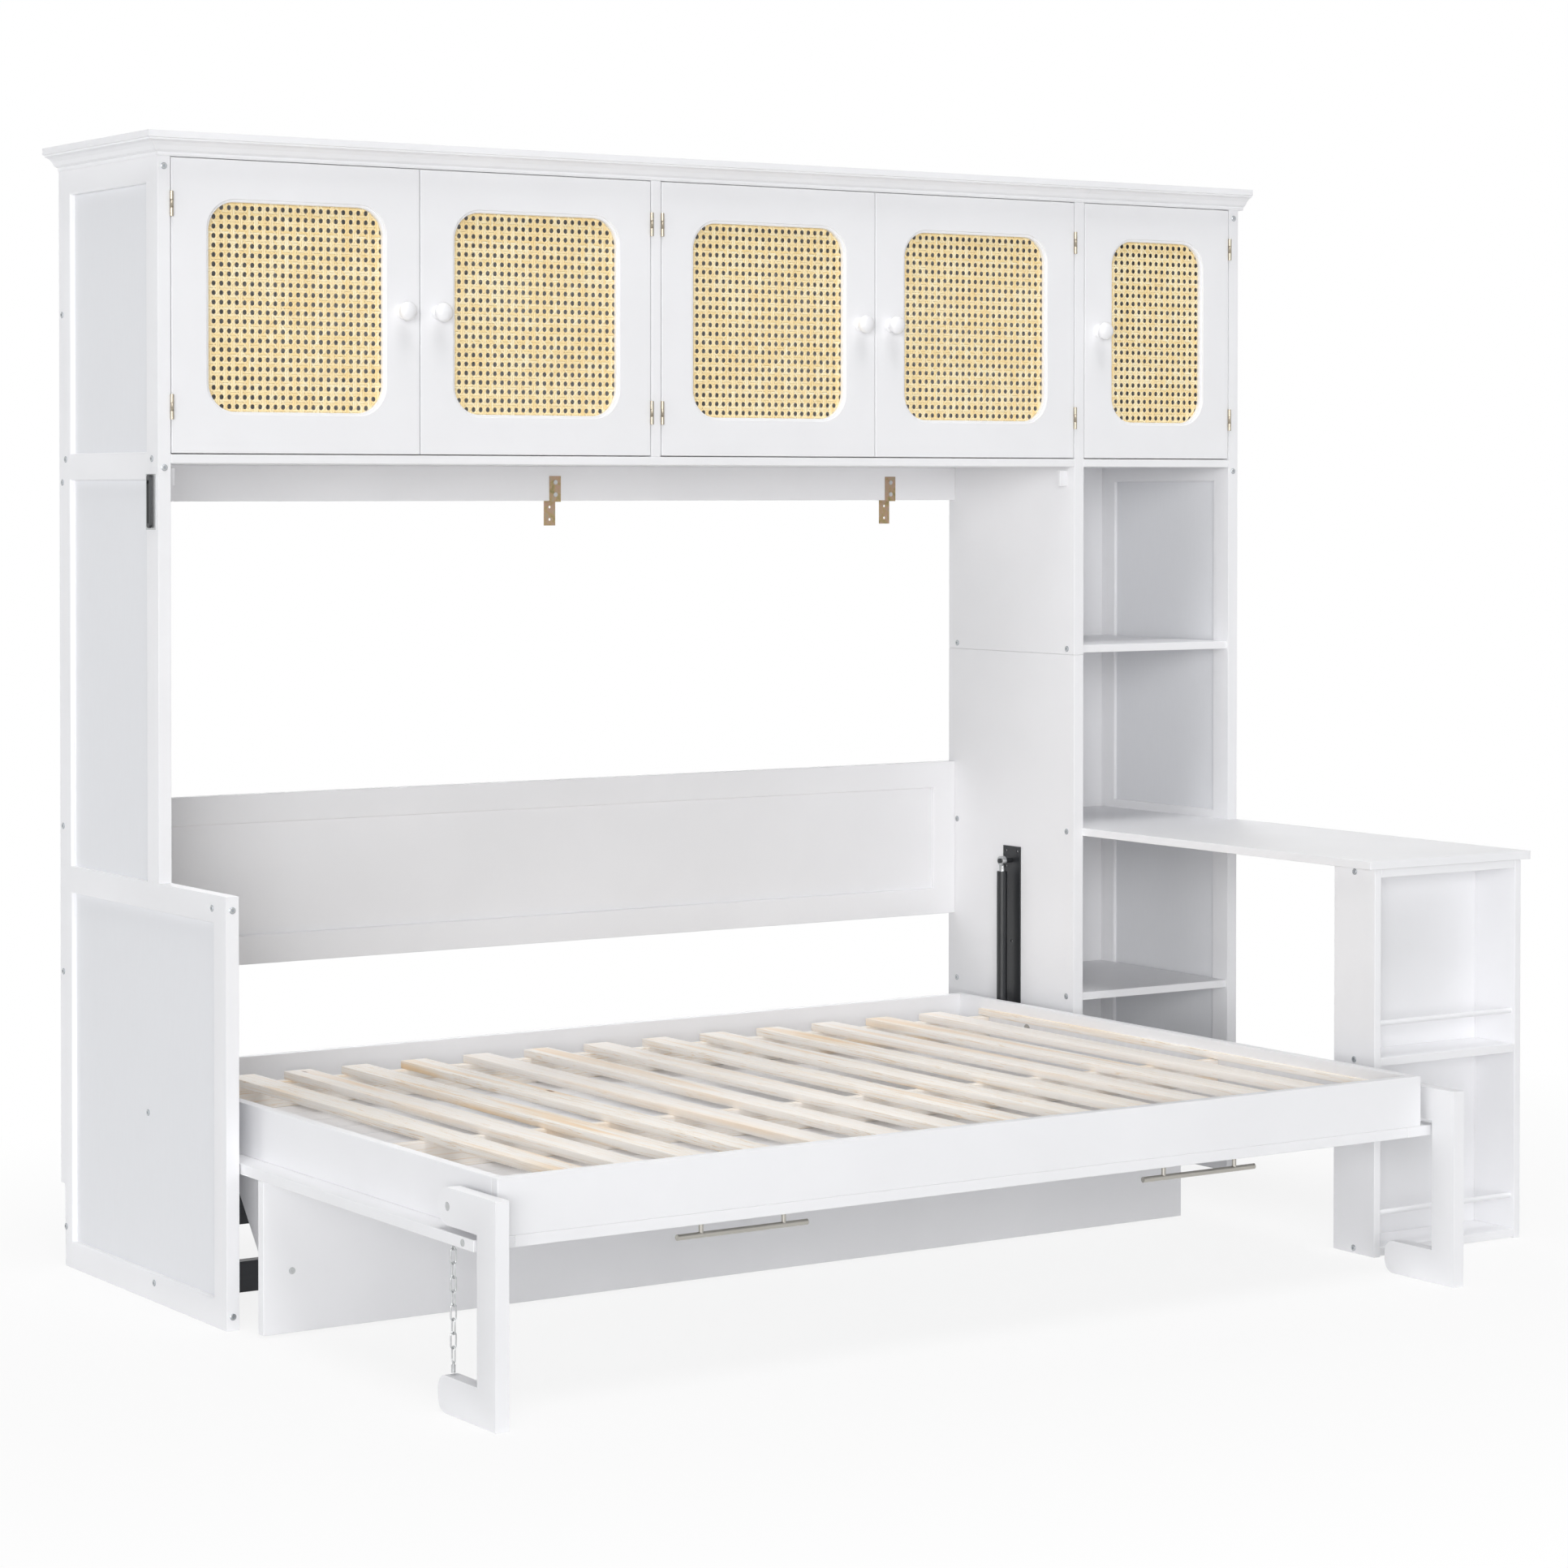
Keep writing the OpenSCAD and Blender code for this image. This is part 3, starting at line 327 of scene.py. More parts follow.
def woven_cane(colours):
    """Peeled rattan, woven: satin straw skin, each strand its own tone with
    browner patches 30 mm wide, and a fine unevenness of 1.5 mm."""
    material, tree, place, shader = new_material("rattan_cane_woven")
    strand = put(tree, "NewGeometry").outputs["Random Per Island"]
    tone = put(tree, "ValToRGB", {0: strand}, stops=[
        (0.0, "F8DDA0"), (0.35, colours.cane), (0.75, "FFF3CF"), (1.0, "FAE1A8")])
    patch = put(tree, "TexNoise", {"Vector": place, "Scale": per_mm(30), "Detail": 3.0})
    worn = put(tree, "MapRange", {
        "Value": patch, "From Min": 0.42, "From Max": 0.75, "To Max": 0.6})
    skin = put(tree, "TexNoise", {"Vector": place, "Scale": per_mm(1.5)})
    plug(tree, shader, {
        "Base Color": put(tree, "Mix", {0: worn, 6: tone, 7: rgba("F6D697")},
                          data_type="RGBA"),
        "Roughness": put(tree, "MapRange", {
            "Value": patch, "To Min": 0.38, "To Max": 0.54}),
        "Normal": put(tree, "Bump", {
            "Height": skin, "Distance": 0.08 * MM, "Strength": 0.5}),
        "IOR": 1.48})
    return material


def metal(name, colour, rough, grain, spread, depth):
    """Plain metal whose polish or plating shows as fine lines or grains: grain
    is their size in mm, spread the change of roughness, depth the relief in mm."""
    material, tree, place, shader = new_material(name)
    lines = put(tree, "TexNoise", {
        "Scale": 1.0, "Detail": 3.0,
        "Vector": put(tree, "Mapping", {"Vector": place, "Scale": per_mm(*grain)})})
    plug(tree, shader, {
        "Base Color": put(tree, "ValToRGB", {0: lines}, stops=[
            (0.25, rgba(colour, LOW_TONE)), (0.75, rgba(colour))]),
        "Roughness": put(tree, "MapRange", {
            "Value": lines, "To Min": rough - spread, "To Max": rough + spread}),
        "Normal": put(tree, "Bump", {
            "Height": lines, "Distance": depth * MM, "Strength": 0.5}),
        "Metallic": 1.0})
    return material


def yellow_zinc():
    """Steel, zinc plated and yellow passivated: olive straw with pink and green
    clouds about 14 mm wide."""
    material, tree, place, shader = new_material("steel_yellow_zinc_plated")
    cloud = put(tree, "TexNoise", {
        "Vector": place, "Scale": per_mm(14), "Detail": 3.0, "Roughness": 0.6,
        "Distortion": 0.8})
    plug(tree, shader, {
        "Base Color": put(tree, "ValToRGB", {0: cloud}, stops=[
            (0.32, "8C8460"), (0.45, "AB9870"), (0.55, "B49684"), (0.68, "A5A184")]),
        "Roughness": put(tree, "MapRange", {
            "Value": cloud, "To Min": 0.3, "To Max": 0.46}),
        "Metallic": 1.0})
    return material


def plain_coat(name, colour, rough, grain, depth):
    """Coloured coat with its surface grain: grain is its size in mm, depth its
    relief in mm."""
    material, tree, place, shader = new_material(name)
    texture = put(tree, "TexNoise", {
        "Scale": 1.0, "Detail": 3.0,
        "Vector": put(tree, "Mapping", {"Vector": place, "Scale": per_mm(*grain)})})
    plug(tree, shader, {
        "Base Color": put(tree, "ValToRGB", {0: texture}, stops=[
            (0.25, rgba(colour, LOW_TONE)), (0.75, rgba(colour))]),
        "Roughness": put(tree, "MapRange", {
            "Value": texture, "To Min": rough - 0.06, "To Max": rough + 0.06}),
        "Normal": put(tree, "Bump", {
            "Height": texture, "Distance": depth * MM, "Strength": 0.5}),
        "IOR": 1.5})
    return material


def finish_of(name):
    """The material of that name, made on first use."""
    found = bpy.data.materials.get(name)
    if found:
        return found
    colours = bpy.context.scene.wallbed_colours
    makers = {
        "satin_enamel_sprayed": lambda: satin_enamel(colours, name, 0.42),
        # turned knobs carry a glossier coat of the same white
        "gloss_enamel_dipped": lambda: satin_enamel(colours, name, 0.3),
        "white_foil_pressed": lambda: panel_foil(colours),
        "pine_planed_slat": lambda: planed_pine(colours, name, False),
        "pine_planed_bearer": lambda: planed_pine(colours, name, True),
        "rattan_cane_woven": lambda: woven_cane(colours),
        # brushed along the bar: lines 0.4 mm apart, 60 mm long
        "nickel_brushed": lambda: metal(
            name, colours.nickel, 0.32, (60, 0.4, 0.4), 0.06, 0.01),
        # plating keeps the sheet's faint roll marks
        "steel_zinc_plated": lambda: metal(
            name, colours.zinc, 0.3, (3, 3, 8), 0.06, 0.01),
        # the rim and the socket of a bolt head take a darker, duller zinc: the darker
        # colour is painted shade of the bolt's recess round the head and of its socket
        "steel_zinc_painted_shade": lambda: metal(name, "B0B5BC", 0.4, (2, 2, 2), 0.06, 0.01),
        # hinges: nickel over brass, a little warm
        "brass_nickel_plated": lambda: metal(
            name, "AEA595", 0.34, (2, 2, 5), 0.06, 0.01),
        "steel_chromed_rod": lambda: metal(
            name, "D2D2D0", 0.16, (1, 1, 30), 0.03, 0.003),
        "steel_yellow_zinc_plated": yellow_zinc,
        # stoved enamel, smooth with a fine peel
        "steel_black_enamel_stoved": lambda: plain_coat(
            name, colours.black, 0.34, (3, 3, 3), 0.04),
        # laminate printed with a faint grain along the rail
        "laminate_grey_pressed": lambda: plain_coat(
            name, colours.laminate, 0.55, (160, 3, 3), 0.05),
    }
    return makers[name]()


# ---- helpers for pieces ----

def body_of_node(node):
    """Name of the body that a CAD node rides on."""
    return NODES[node]["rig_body"]


def dress(node, material):
    """Gives a CAD node that keeps its mesh its material."""
    NODES[node].data.materials.clear()
    NODES[node].data.materials.append(finish_of(material))


def piece_from(mesh, name, materials, body, nodes):
    """Links a mesh as a piece, gives it its materials and its body."""
    piece = bpy.data.objects.new(name, mesh)
    bpy.context.scene.collection.objects.link(piece)
    for material in (materials,) if isinstance(materials, str) else materials:
        mesh.materials.append(finish_of(material))
    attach(piece, body)
    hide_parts(*nodes)
    return piece


def mesh_from(bm, name, smooth_deg=None):
    """Ends a bmesh as a mesh, smooth where faces meet at less than an angle."""
    mesh = bpy.data.meshes.new(name)
    bm.normal_update()
    bm.to_mesh(mesh)
    bm.free()
    if smooth_deg is not None:
        mesh.shade_smooth()
        mesh.set_sharp_from_angle(angle=math.radians(smooth_deg))
    return mesh


def joined(node):
    """The node's solids as a bmesh whose faces share their corners."""
    bm = bmesh.new()
    bm.from_mesh(NODES[node].data)
    bmesh.ops.remove_doubles(bm, verts=bm.verts, dist=WELD)
    return bm


def welded(node):
    """The node's solids as a bmesh with its flat faces merged."""
    bm = joined(node)
    bmesh.ops.dissolve_limit(bm, angle_limit=math.radians(FLAT), verts=bm.verts,
                             edges=bm.edges)
    return bm


def is_square(edge):
    """Whether two faces meet in the edge at an outward corner that stands out."""
    return (len(edge.link_faces) == 2 and edge.is_convex
            and edge.calc_face_angle(0) > math.radians(SQUARE))


def sharp_edges(bm, least, keep=lambda edge: True):
    """Outward square edges more than that many mm long."""
    return [e for e in bm.edges
            if is_square(e) and e.calc_length() > least * MM and keep(e)]


def ease(bm, edges, width, segments=2):
    """Rounds edges over a width in metres."""
    if edges:
        bmesh.ops.bevel(bm, geom=edges, offset=width, offset_type="OFFSET",
                        segments=segments, profile=0.5, affect="EDGES",
                        clamp_overlap=True)


def lathe(bm, centre, axis, profile, sides, hexagon_from=None, second=()):
    """Turns [radius, height] points round an axis. Points from the index
    hexagon_from on make a six-sided socket; bands named in second, counted from
    the first point, take the second material."""
    turn = Vector((0, 0, 1)).rotation_difference(Vector(axis)).to_matrix()
    rings = []
    for i, (radius, height) in enumerate(profile):
        if radius == 0:
            rings.append([bm.verts.new(Vector(centre) + turn @ Vector((0, 0, height)))])
            continue
        ring = []
        for k in range(sides):
            a = 2 * math.pi * k / sides
            r = radius
            if hexagon_from is not None and i >= hexagon_from:
                r = radius / math.cos((a + math.pi / 6) % (math.pi / 3) - math.pi / 6)
            point = Vector((r * math.cos(a), r * math.sin(a), height))
            ring.append(bm.verts.new(Vector(centre) + turn @ point))
        rings.append(ring)
    for band, (low, high) in enumerate(zip(rings, rings[1:])):
        for k in range(sides):
            n = (k + 1) % sides
            corners = [low[k % len(low)], low[n % len(low)],
                       high[n % len(high)], high[k % len(high)]]
            unique = list(dict.fromkeys(corners))
            if len(unique) > 2:
                bm.faces.new(unique).material_index = int(band in second)


def solid_box(bm, low, high):
    """Adds a box between its lowest and highest corners."""
    centre = [(a + b) / 2 for a, b in zip(low, high)]
    size = [b - a for a, b in zip(low, high)]
    bmesh.ops.create_cube(bm, size=1, matrix=Matrix.Translation(centre)
                          @ Matrix.Diagonal((*size, 1)))


def islands(node):
    """(lowest, highest corner) of each separate solid in a node."""
    bm = joined(node)
    left = set(bm.verts)
    found = []
    while left:
        stack = [left.pop()]
        part = []
        while stack:
            vert = stack.pop()
            part.append(vert.co.copy())
            for edge in vert.link_edges:
                other = edge.other_vert(vert)
                if other in left:
                    left.remove(other)
                    stack.append(other)
        found.append((Vector([min(c[i] for c in part) for i in range(3)]),
                      Vector([max(c[i] for c in part) for i in range(3)])))
    bm.free()
    return sorted(found, key=lambda box: tuple(round(v, 4) for v in box[0]))


# ---- operators, one for each group of pieces ----

class WALLBED_OT_boards(bpy.types.Operator):
    """Painted boards with eased edges, and frames with routed inner edges"""
    bl_idname = "wallbed.boards"
    bl_label = "Painted boards"

    # in mm: width of the frames' outer rim, which isn't routed, and the shortest
    # inner edge that is
    RIM = 18
    ROUTED_FROM = 40

    def execute(self, context):
        sizes = context.scene.wallbed_sizes
        for node in FLAT_BOARDS + ROUTED_FRAMES:
            bm = welded(node)
            if node in ROUTED_FRAMES:
                low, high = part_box(node)
                wide = 0 if high.y - low.y < high.x - low.x else 1
                rim = self.RIM * MM

                def inner(edge):
                    mid = (edge.verts[0].co + edge.verts[1].co) / 2
                    return all(low[i] + rim < mid[i] < high[i] - rim for i in (wide, 2))

                ease(bm, sharp_edges(bm, self.ROUTED_FROM, inner), sizes.routed, 3)
            ease(bm, sharp_edges(bm, SHORTEST), sizes.arris)
            piece_from(mesh_from(bm, node + "_painted", SMOOTH_BOARD), node + "_painted",
                       "satin_enamel_sprayed", body_of_node(node), [node])
        return {"FINISHED"}


class WALLBED_OT_panels(bpy.types.Operator):
    """Sunk panels, crown and other painted parts that stay as they are"""
    bl_idname = "wallbed.panels"
    bl_label = "Sunk panels and crown"

    def execute(self, context):
        dress("side_infill_panels", "white_foil_pressed")
        for node in PLAIN_PAINTED:
            dress(node, "satin_enamel_sprayed")
        return {"FINISHED"}


class WALLBED_OT_doors(bpy.types.Operator):
    """Door frames with a soft edge all round and round the window"""
    bl_idname = "wallbed.doors"
    bl_label = "Door frames"

    # shortest edge in mm that is eased; the window's corners come in short edges
    EASED_FROM = 2.6

    def execute(self, context):
        sizes = context.scene.wallbed_sizes
        for door in DOORS:
            node = f"door_{door}_frame"
            bm = welded(node)
            ease(bm, sharp_edges(bm, self.EASED_FROM), sizes.arris)
            piece_from(mesh_from(bm, node + "_painted", SMOOTH_BOARD), node + "_painted",
                       "satin_enamel_sprayed", body_of_node(node), [node])
        return {"FINISHED"}


class CaneSheet:
    """Six-way cane in one door: pairs of strands up and across, and single
    strands on both diagonals, cut to a rectangle with round corners."""

    # the weave is pulled a little taller than it is wide
    TALL = 1.1
    # a pair's strands lie this share of the pitch from its middle, so that the
    # holes come out as even octagons
    APART = 0.128
    # width of the diagonals as a share of a strand's
    SLIM = 0.8
    # in mm: how far a strand's crown stands over its path, and how far the pairs
    # and the diagonals rise and dip as they cross
    THICK, PAIR_RISE, SLANT_RISE = 0.3, 0.36, 0.62
    # halvings that find where a strand meets the window's edge
    CUTS = 14
    # a strand's cross-section: a flat ribbon, a little arched on its skin side
    SECTION = ((-1, -0.4), (-0.9, 0.5), (-0.4, 1), (0.4, 1), (0.9, 0.5), (1, -0.4))

    def __init__(self, low, high, corner, pitch, width):
        self.mid = (low + high) / 2
        self.half = (high - low) / 2
        self.corner = corner
        self.pitch = pitch
        self.width = width
        self.apart = pitch * self.APART
        self.thick = self.THICK * MM
        self.verts = []
        self.faces = []

    def inside(self, u, v):
        """Whether a point lies in the window, measured from its middle."""
        du = abs(u) - (self.half.x - self.corner)
        dv = abs(v) - (self.half.z - self.corner)
        if du <= 0 or dv <= 0:
            return du <= self.corner and dv <= self.corner
        return math.hypot(du, dv) <= self.corner

    def edge(self, start, end):
        """Last point inside, from start towards end."""
        low, high = 0.0, 1.0
        for _ in range(self.CUTS):
            t = (low + high) / 2
            if self.inside(start[0] + (end[0] - start[0]) * t,
                           start[1] + (end[1] - start[1]) * t):
                low = t
            else:
                high = t
        return [start[i] + (end[i] - start[i]) * low for i in (0, 1, 2)]

    def strand(self, stations, side):
        """One strand through (u, v, height) points; side is its width's direction."""
        stations = [(u, v * self.TALL, h) for u, v, h in stations]
        kept = [i for i, s in enumerate(stations) if self.inside(s[0], s[1])]
        if len(kept) < 2:
            return
        path = [stations[i] for i in kept]
        if kept[0] > 0:
            path.insert(0, self.edge(path[0], stations[kept[0] - 1]))
        if kept[-1] < len(stations) - 1:
            path.append(self.edge(path[-1], stations[kept[-1] + 1]))
        base, around = len(self.verts), len(self.SECTION)
        for u, v, h in path:
            for across, up in self.SECTION:
                du = side[0] * across * self.width / 2
                dv = side[1] * across * self.width / 2
                self.verts.append((self.mid.x + u + du,
                                   self.mid.y - h - up * self.thick,
                                   self.mid.z + v + dv))
        for i in range(len(path) - 1):
            a, b = base + around * i, base + around * (i + 1)
            for k in range(around):
                n = (k + 1) % around
                self.faces.append((a + k, a + n, b + n, b + k))
        last = base + around * (len(path) - 1)
        self.faces.append(tuple(base + k for k in reversed(range(around))))
        self.faces.append(tuple(last + k for k in range(around)))

    def weave(self):
        """The whole sheet as a mesh."""
        p = self.pitch
        up, slant = self.PAIR_RISE * MM, self.SLANT_RISE * MM
        across = int(self.half.x / p) + 2
        rows = int(self.half.z / p) + 2
        for k in range(-across, across + 1):
            for s in (-1, 1):
                u = k * p + s * self.apart
                self.strand([(u, i * p / 2, 0 if i % 2 else up * (-1) ** (k + i // 2))
                             for i in range(-2 * rows, 2 * rows + 1)], (1, 0))
        for r in range(-rows, rows + 1):
            for s in (-1, 1):
                v = r * p + s * self.apart
                self.strand([(i * p / 2, v, 0 if i % 2 else -up * (-1) ** (r + i // 2))
                             for i in range(-2 * across, 2 * across + 1)], (0, 1))
        reach = across + rows
        # a diagonal passes over the upright pairs and under the level ones, and
        # the one that crosses it the other way round
        slim = self.SLIM * math.sqrt(0.5)
        for m in range(-reach, reach + 1):
            off = (m + 0.5) * p
            for slope in (1, -1):
                self.strand([(i * p / 2, slope * i * p / 2 + off,
                              slant * slope * (-1) ** i)
                             for i in range(-2 * reach, 2 * reach + 1)],
                            (slim, -slope * slim))
        mesh = bpy.data.meshes.new("cane")
        mesh.from_pydata(self.verts, [], self.faces)
        mesh.shade_smooth()
        return mesh


class WALLBED_OT_cane(bpy.types.Operator):
    """Woven cane in the door windows"""
    bl_idname = "wallbed.cane"
    bl_label = "Woven cane"

    # corner radius of a window's cane in mm
    CORNER = 60

    def execute(self, context):
        sizes = context.scene.wallbed_sizes
        for door in DOORS:
            node = f"door_{door}_cane"
            low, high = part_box(node)
            sheet = CaneSheet(low, high, self.CORNER * MM, sizes.cane_pitch,
                              sizes.cane_strand)
            mesh = sheet.weave()
            mesh.name = f"woven_cane_{door}"
            piece_from(mesh, f"woven_cane_{door}", "rattan_cane_woven",
                       body_of_node(node), [node])
        return {"FINISHED"}


class WALLBED_OT_knobs(bpy.types.Operator):
    """Turned knobs, and the hinge leaves on the doors and on the cabinet"""
    bl_idname = "wallbed.knobs"
    bl_label = "Knobs and hinges"

    # a knob is wider than this, in mm; hinge leaves are narrower
    KNOB_FROM = 25
    # facets round a knob
    SIDES = 48
    # radius and distance from the door, in mm
    PROFILE = (
        (0, 0.05), (13.5, 0.05), (14, 1), (14, 2.8), (13, 4.2), (10.6, 5.6), (9, 7.4),
        (8.6, 9.2), (9.2, 11), (11.5, 13), (14.4, 15.2), (16.6, 18), (17.7, 21),
        (17.8, 24), (16.7, 27), (14.4, 29.8), (11, 32), (6, 33.5), (0, 34),
    )

    def execute(self, context):
        for door in DOORS:
            node = f"door_{door}_fittings"
            body = body_of_node(node)
            knobs, leaves = [], []
            for low, high in islands(node):
                wide = high.x - low.x > self.KNOB_FROM * MM
                (knobs if wide else leaves).append((low, high))
            low, high = knobs[0]
            bm = bmesh.new()
            lathe(bm, ((low.x + high.x) / 2, high.y, (low.z + high.z) / 2), (0, -1, 0),
                  [(r * MM, h * MM) for r, h in self.PROFILE], self.SIDES)
            piece_from(mesh_from(bm, f"knob_{door}", SMOOTH_KNOB), f"knob_{door}",
                       "gloss_enamel_dipped", body, [node])
            bm = bmesh.new()
            for low, high in leaves:
                self.leaf(bm, node, low, high)
            piece_from(mesh_from(bm, f"hinge_leaves_{door}", SMOOTH_METAL),
                       f"hinge_leaves_{door}", "brass_nickel_plated", body, [node])
        dress("door_hinge_leaves", "brass_nickel_plated")
        return {"FINISHED"}

    @staticmethod
    def leaf(bm, node, low, high):
        """Adds the node's hinge leaf and pin that lie between two corners."""
        part = joined(node)
        far = [v for v in part.verts
               if not all(low[i] - WELD <= v.co[i] <= high[i] + WELD for i in range(3))]
        bmesh.ops.delete(part, geom=far, context="VERTS")
        mesh = bpy.data.meshes.new("leaf")
        part.to_mesh(mesh)
        part.free()
        bm.from_mesh(mesh)
        bpy.data.meshes.remove(mesh)


class WALLBED_OT_slats(bpy.types.Operator):
    """Planed slats and the bearers that carry them"""
    bl_idname = "wallbed.slats"
    bl_label = "Slats and bearers"

    def execute(self, context):
        sizes = context.scene.wallbed_sizes
        for node in ("bed_slats", "bed_bearers"):
            lengthwise = [box for box in islands(node)
                          if box[1].x - box[0].x > box[1].y - box[0].y]
            bm = welded(node)
            ease(bm, sharp_edges(bm, SHORTEST), sizes.slat_arris, 3)
            for face in bm.faces:
                place = face.calc_center_median()
                face.material_index = int(any(
                    all(low[i] - MM < place[i] < high[i] + MM for i in range(3))
                    for low, high in lengthwise))
            woods = ("pine_planed_slat", "pine_planed_bearer")
            piece_from(mesh_from(bm, node + "_planed", SMOOTH_WOOD), node + "_planed",
                       woods if lengthwise else woods[0],
                       body_of_node(node), [node])
        return {"FINISHED"}


class WALLBED_OT_bolt_heads(bpy.types.Operator):
    """Socket heads of the bolts that hold the boards together"""
    bl_idname = "wallbed.bolt_heads"
    bl_label = "Bolt heads"

    # radius as a share of the head's, height as a share of its rise
    PROFILE = (
        (0, 0), (1, 0), (1, 0.45), (0.84, 0.75), (0.78, 1), (0.42, 1), (0.40, 0.9),
        (0.40, 0.2), (0, 0.2),
    )
    # bands of the profile at the rim and in the socket, which take the darker zinc as
    # painted shade
    SHADED_BANDS = (1, 2, 6, 7)
    # facets round a head
    SIDES = 30
    # the profile's point where the six-sided socket begins
    SOCKET_FROM = 6

    def execute(self, context):
        case_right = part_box("desk_case_sides")[1].x
        bm = bmesh.new()
        for low, high in islands("bolt_caps"):
            size = high - low
            axis = min(range(3), key=lambda i: size[i])
            mid = (low + high) / 2
            out = Vector((0, 0, 0))
            out[axis] = 1 if axis == 0 and mid.x > case_right else -1
            radius = max(size) / 2
            lathe(bm, mid - out * size[axis] / 2, out,
                  [(r * radius, h * size[axis]) for r, h in self.PROFILE],
                  self.SIDES, self.SOCKET_FROM, self.SHADED_BANDS)
        # the heads' rim and socket bands take the second, darker zinc: painted shade
        piece_from(mesh_from(bm, "bolt_heads", SMOOTH_METAL), "bolt_heads",
                   ("steel_zinc_plated", "steel_zinc_painted_shade"),
                   body_of_node("bolt_caps"), ["bolt_caps"])
        return {"FINISHED"}


class WALLBED_OT_two_finishes(bpy.types.Operator):
    """Struts and chain track, whose ends and plate differ from the rest"""
    bl_idname = "wallbed.two_finishes"
    bl_label = "Struts and chain track"

    # in mm: from the top of a strut's eye down to its tube, the rounding of the
    # tube's rim, and the track plate's thickness
    EYE = 31.5
    TUBE_RIM = 1.2
    PLATE = 2.05

    def execute(self, context):
        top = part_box("strut_cylinders")[1].z - self.EYE * MM
        bm = welded("strut_cylinders")
        rim = [e for e in bm.edges if is_square(e)
               and all(top - MM < v.co.z < top + MM for v in e.verts)]
        ease(bm, rim, self.TUBE_RIM * MM)
        for face in bm.faces:
            face.material_index = int(face.calc_center_median().z > top)
        piece_from(mesh_from(bm, "strut_tubes", SMOOTH_METAL), "strut_tubes",
                   ("steel_black_enamel_stoved", "steel_zinc_plated"),
                   body_of_node("strut_cylinders"), ["strut_cylinders"])
        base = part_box("chain_track")[1].x - self.PLATE * MM
        bm = welded("chain_track")
        for face in bm.faces:
            face.material_index = int(face.calc_center_median().x > base)
        piece_from(mesh_from(bm, "chain_channel", SMOOTH_METAL), "chain_channel",
                   ("steel_black_enamel_stoved", "steel_zinc_plated"),
                   body_of_node("chain_track"), ["chain_track"])
        return {"FINISHED"}


class WALLBED_OT_hardware(bpy.types.Operator):
    """Finishes of the metal and laminated parts that keep their shape"""
    bl_idname = "wallbed.hardware"
    bl_label = "Metal and laminated parts"

    FINISHES = {
        "nickel_brushed": ("pull_handles",),
        "steel_zinc_plated": ("bracket_screws", "pivot_plates", "pivot_pins",
                              "bed_brackets", "safety_chain", "bed_bolts"),
        "steel_chromed_rod": ("strut_rods",),
        "steel_yellow_zinc_plated": ("wall_brackets",),
        "steel_black_enamel_stoved": ("strut_plates",),
        "laminate_grey_pressed": ("base_rails",),
    }

    def execute(self, context):
        for material, nodes in self.FINISHES.items():
            for node in nodes:
                dress(node, material)
        return {"FINISHED"}


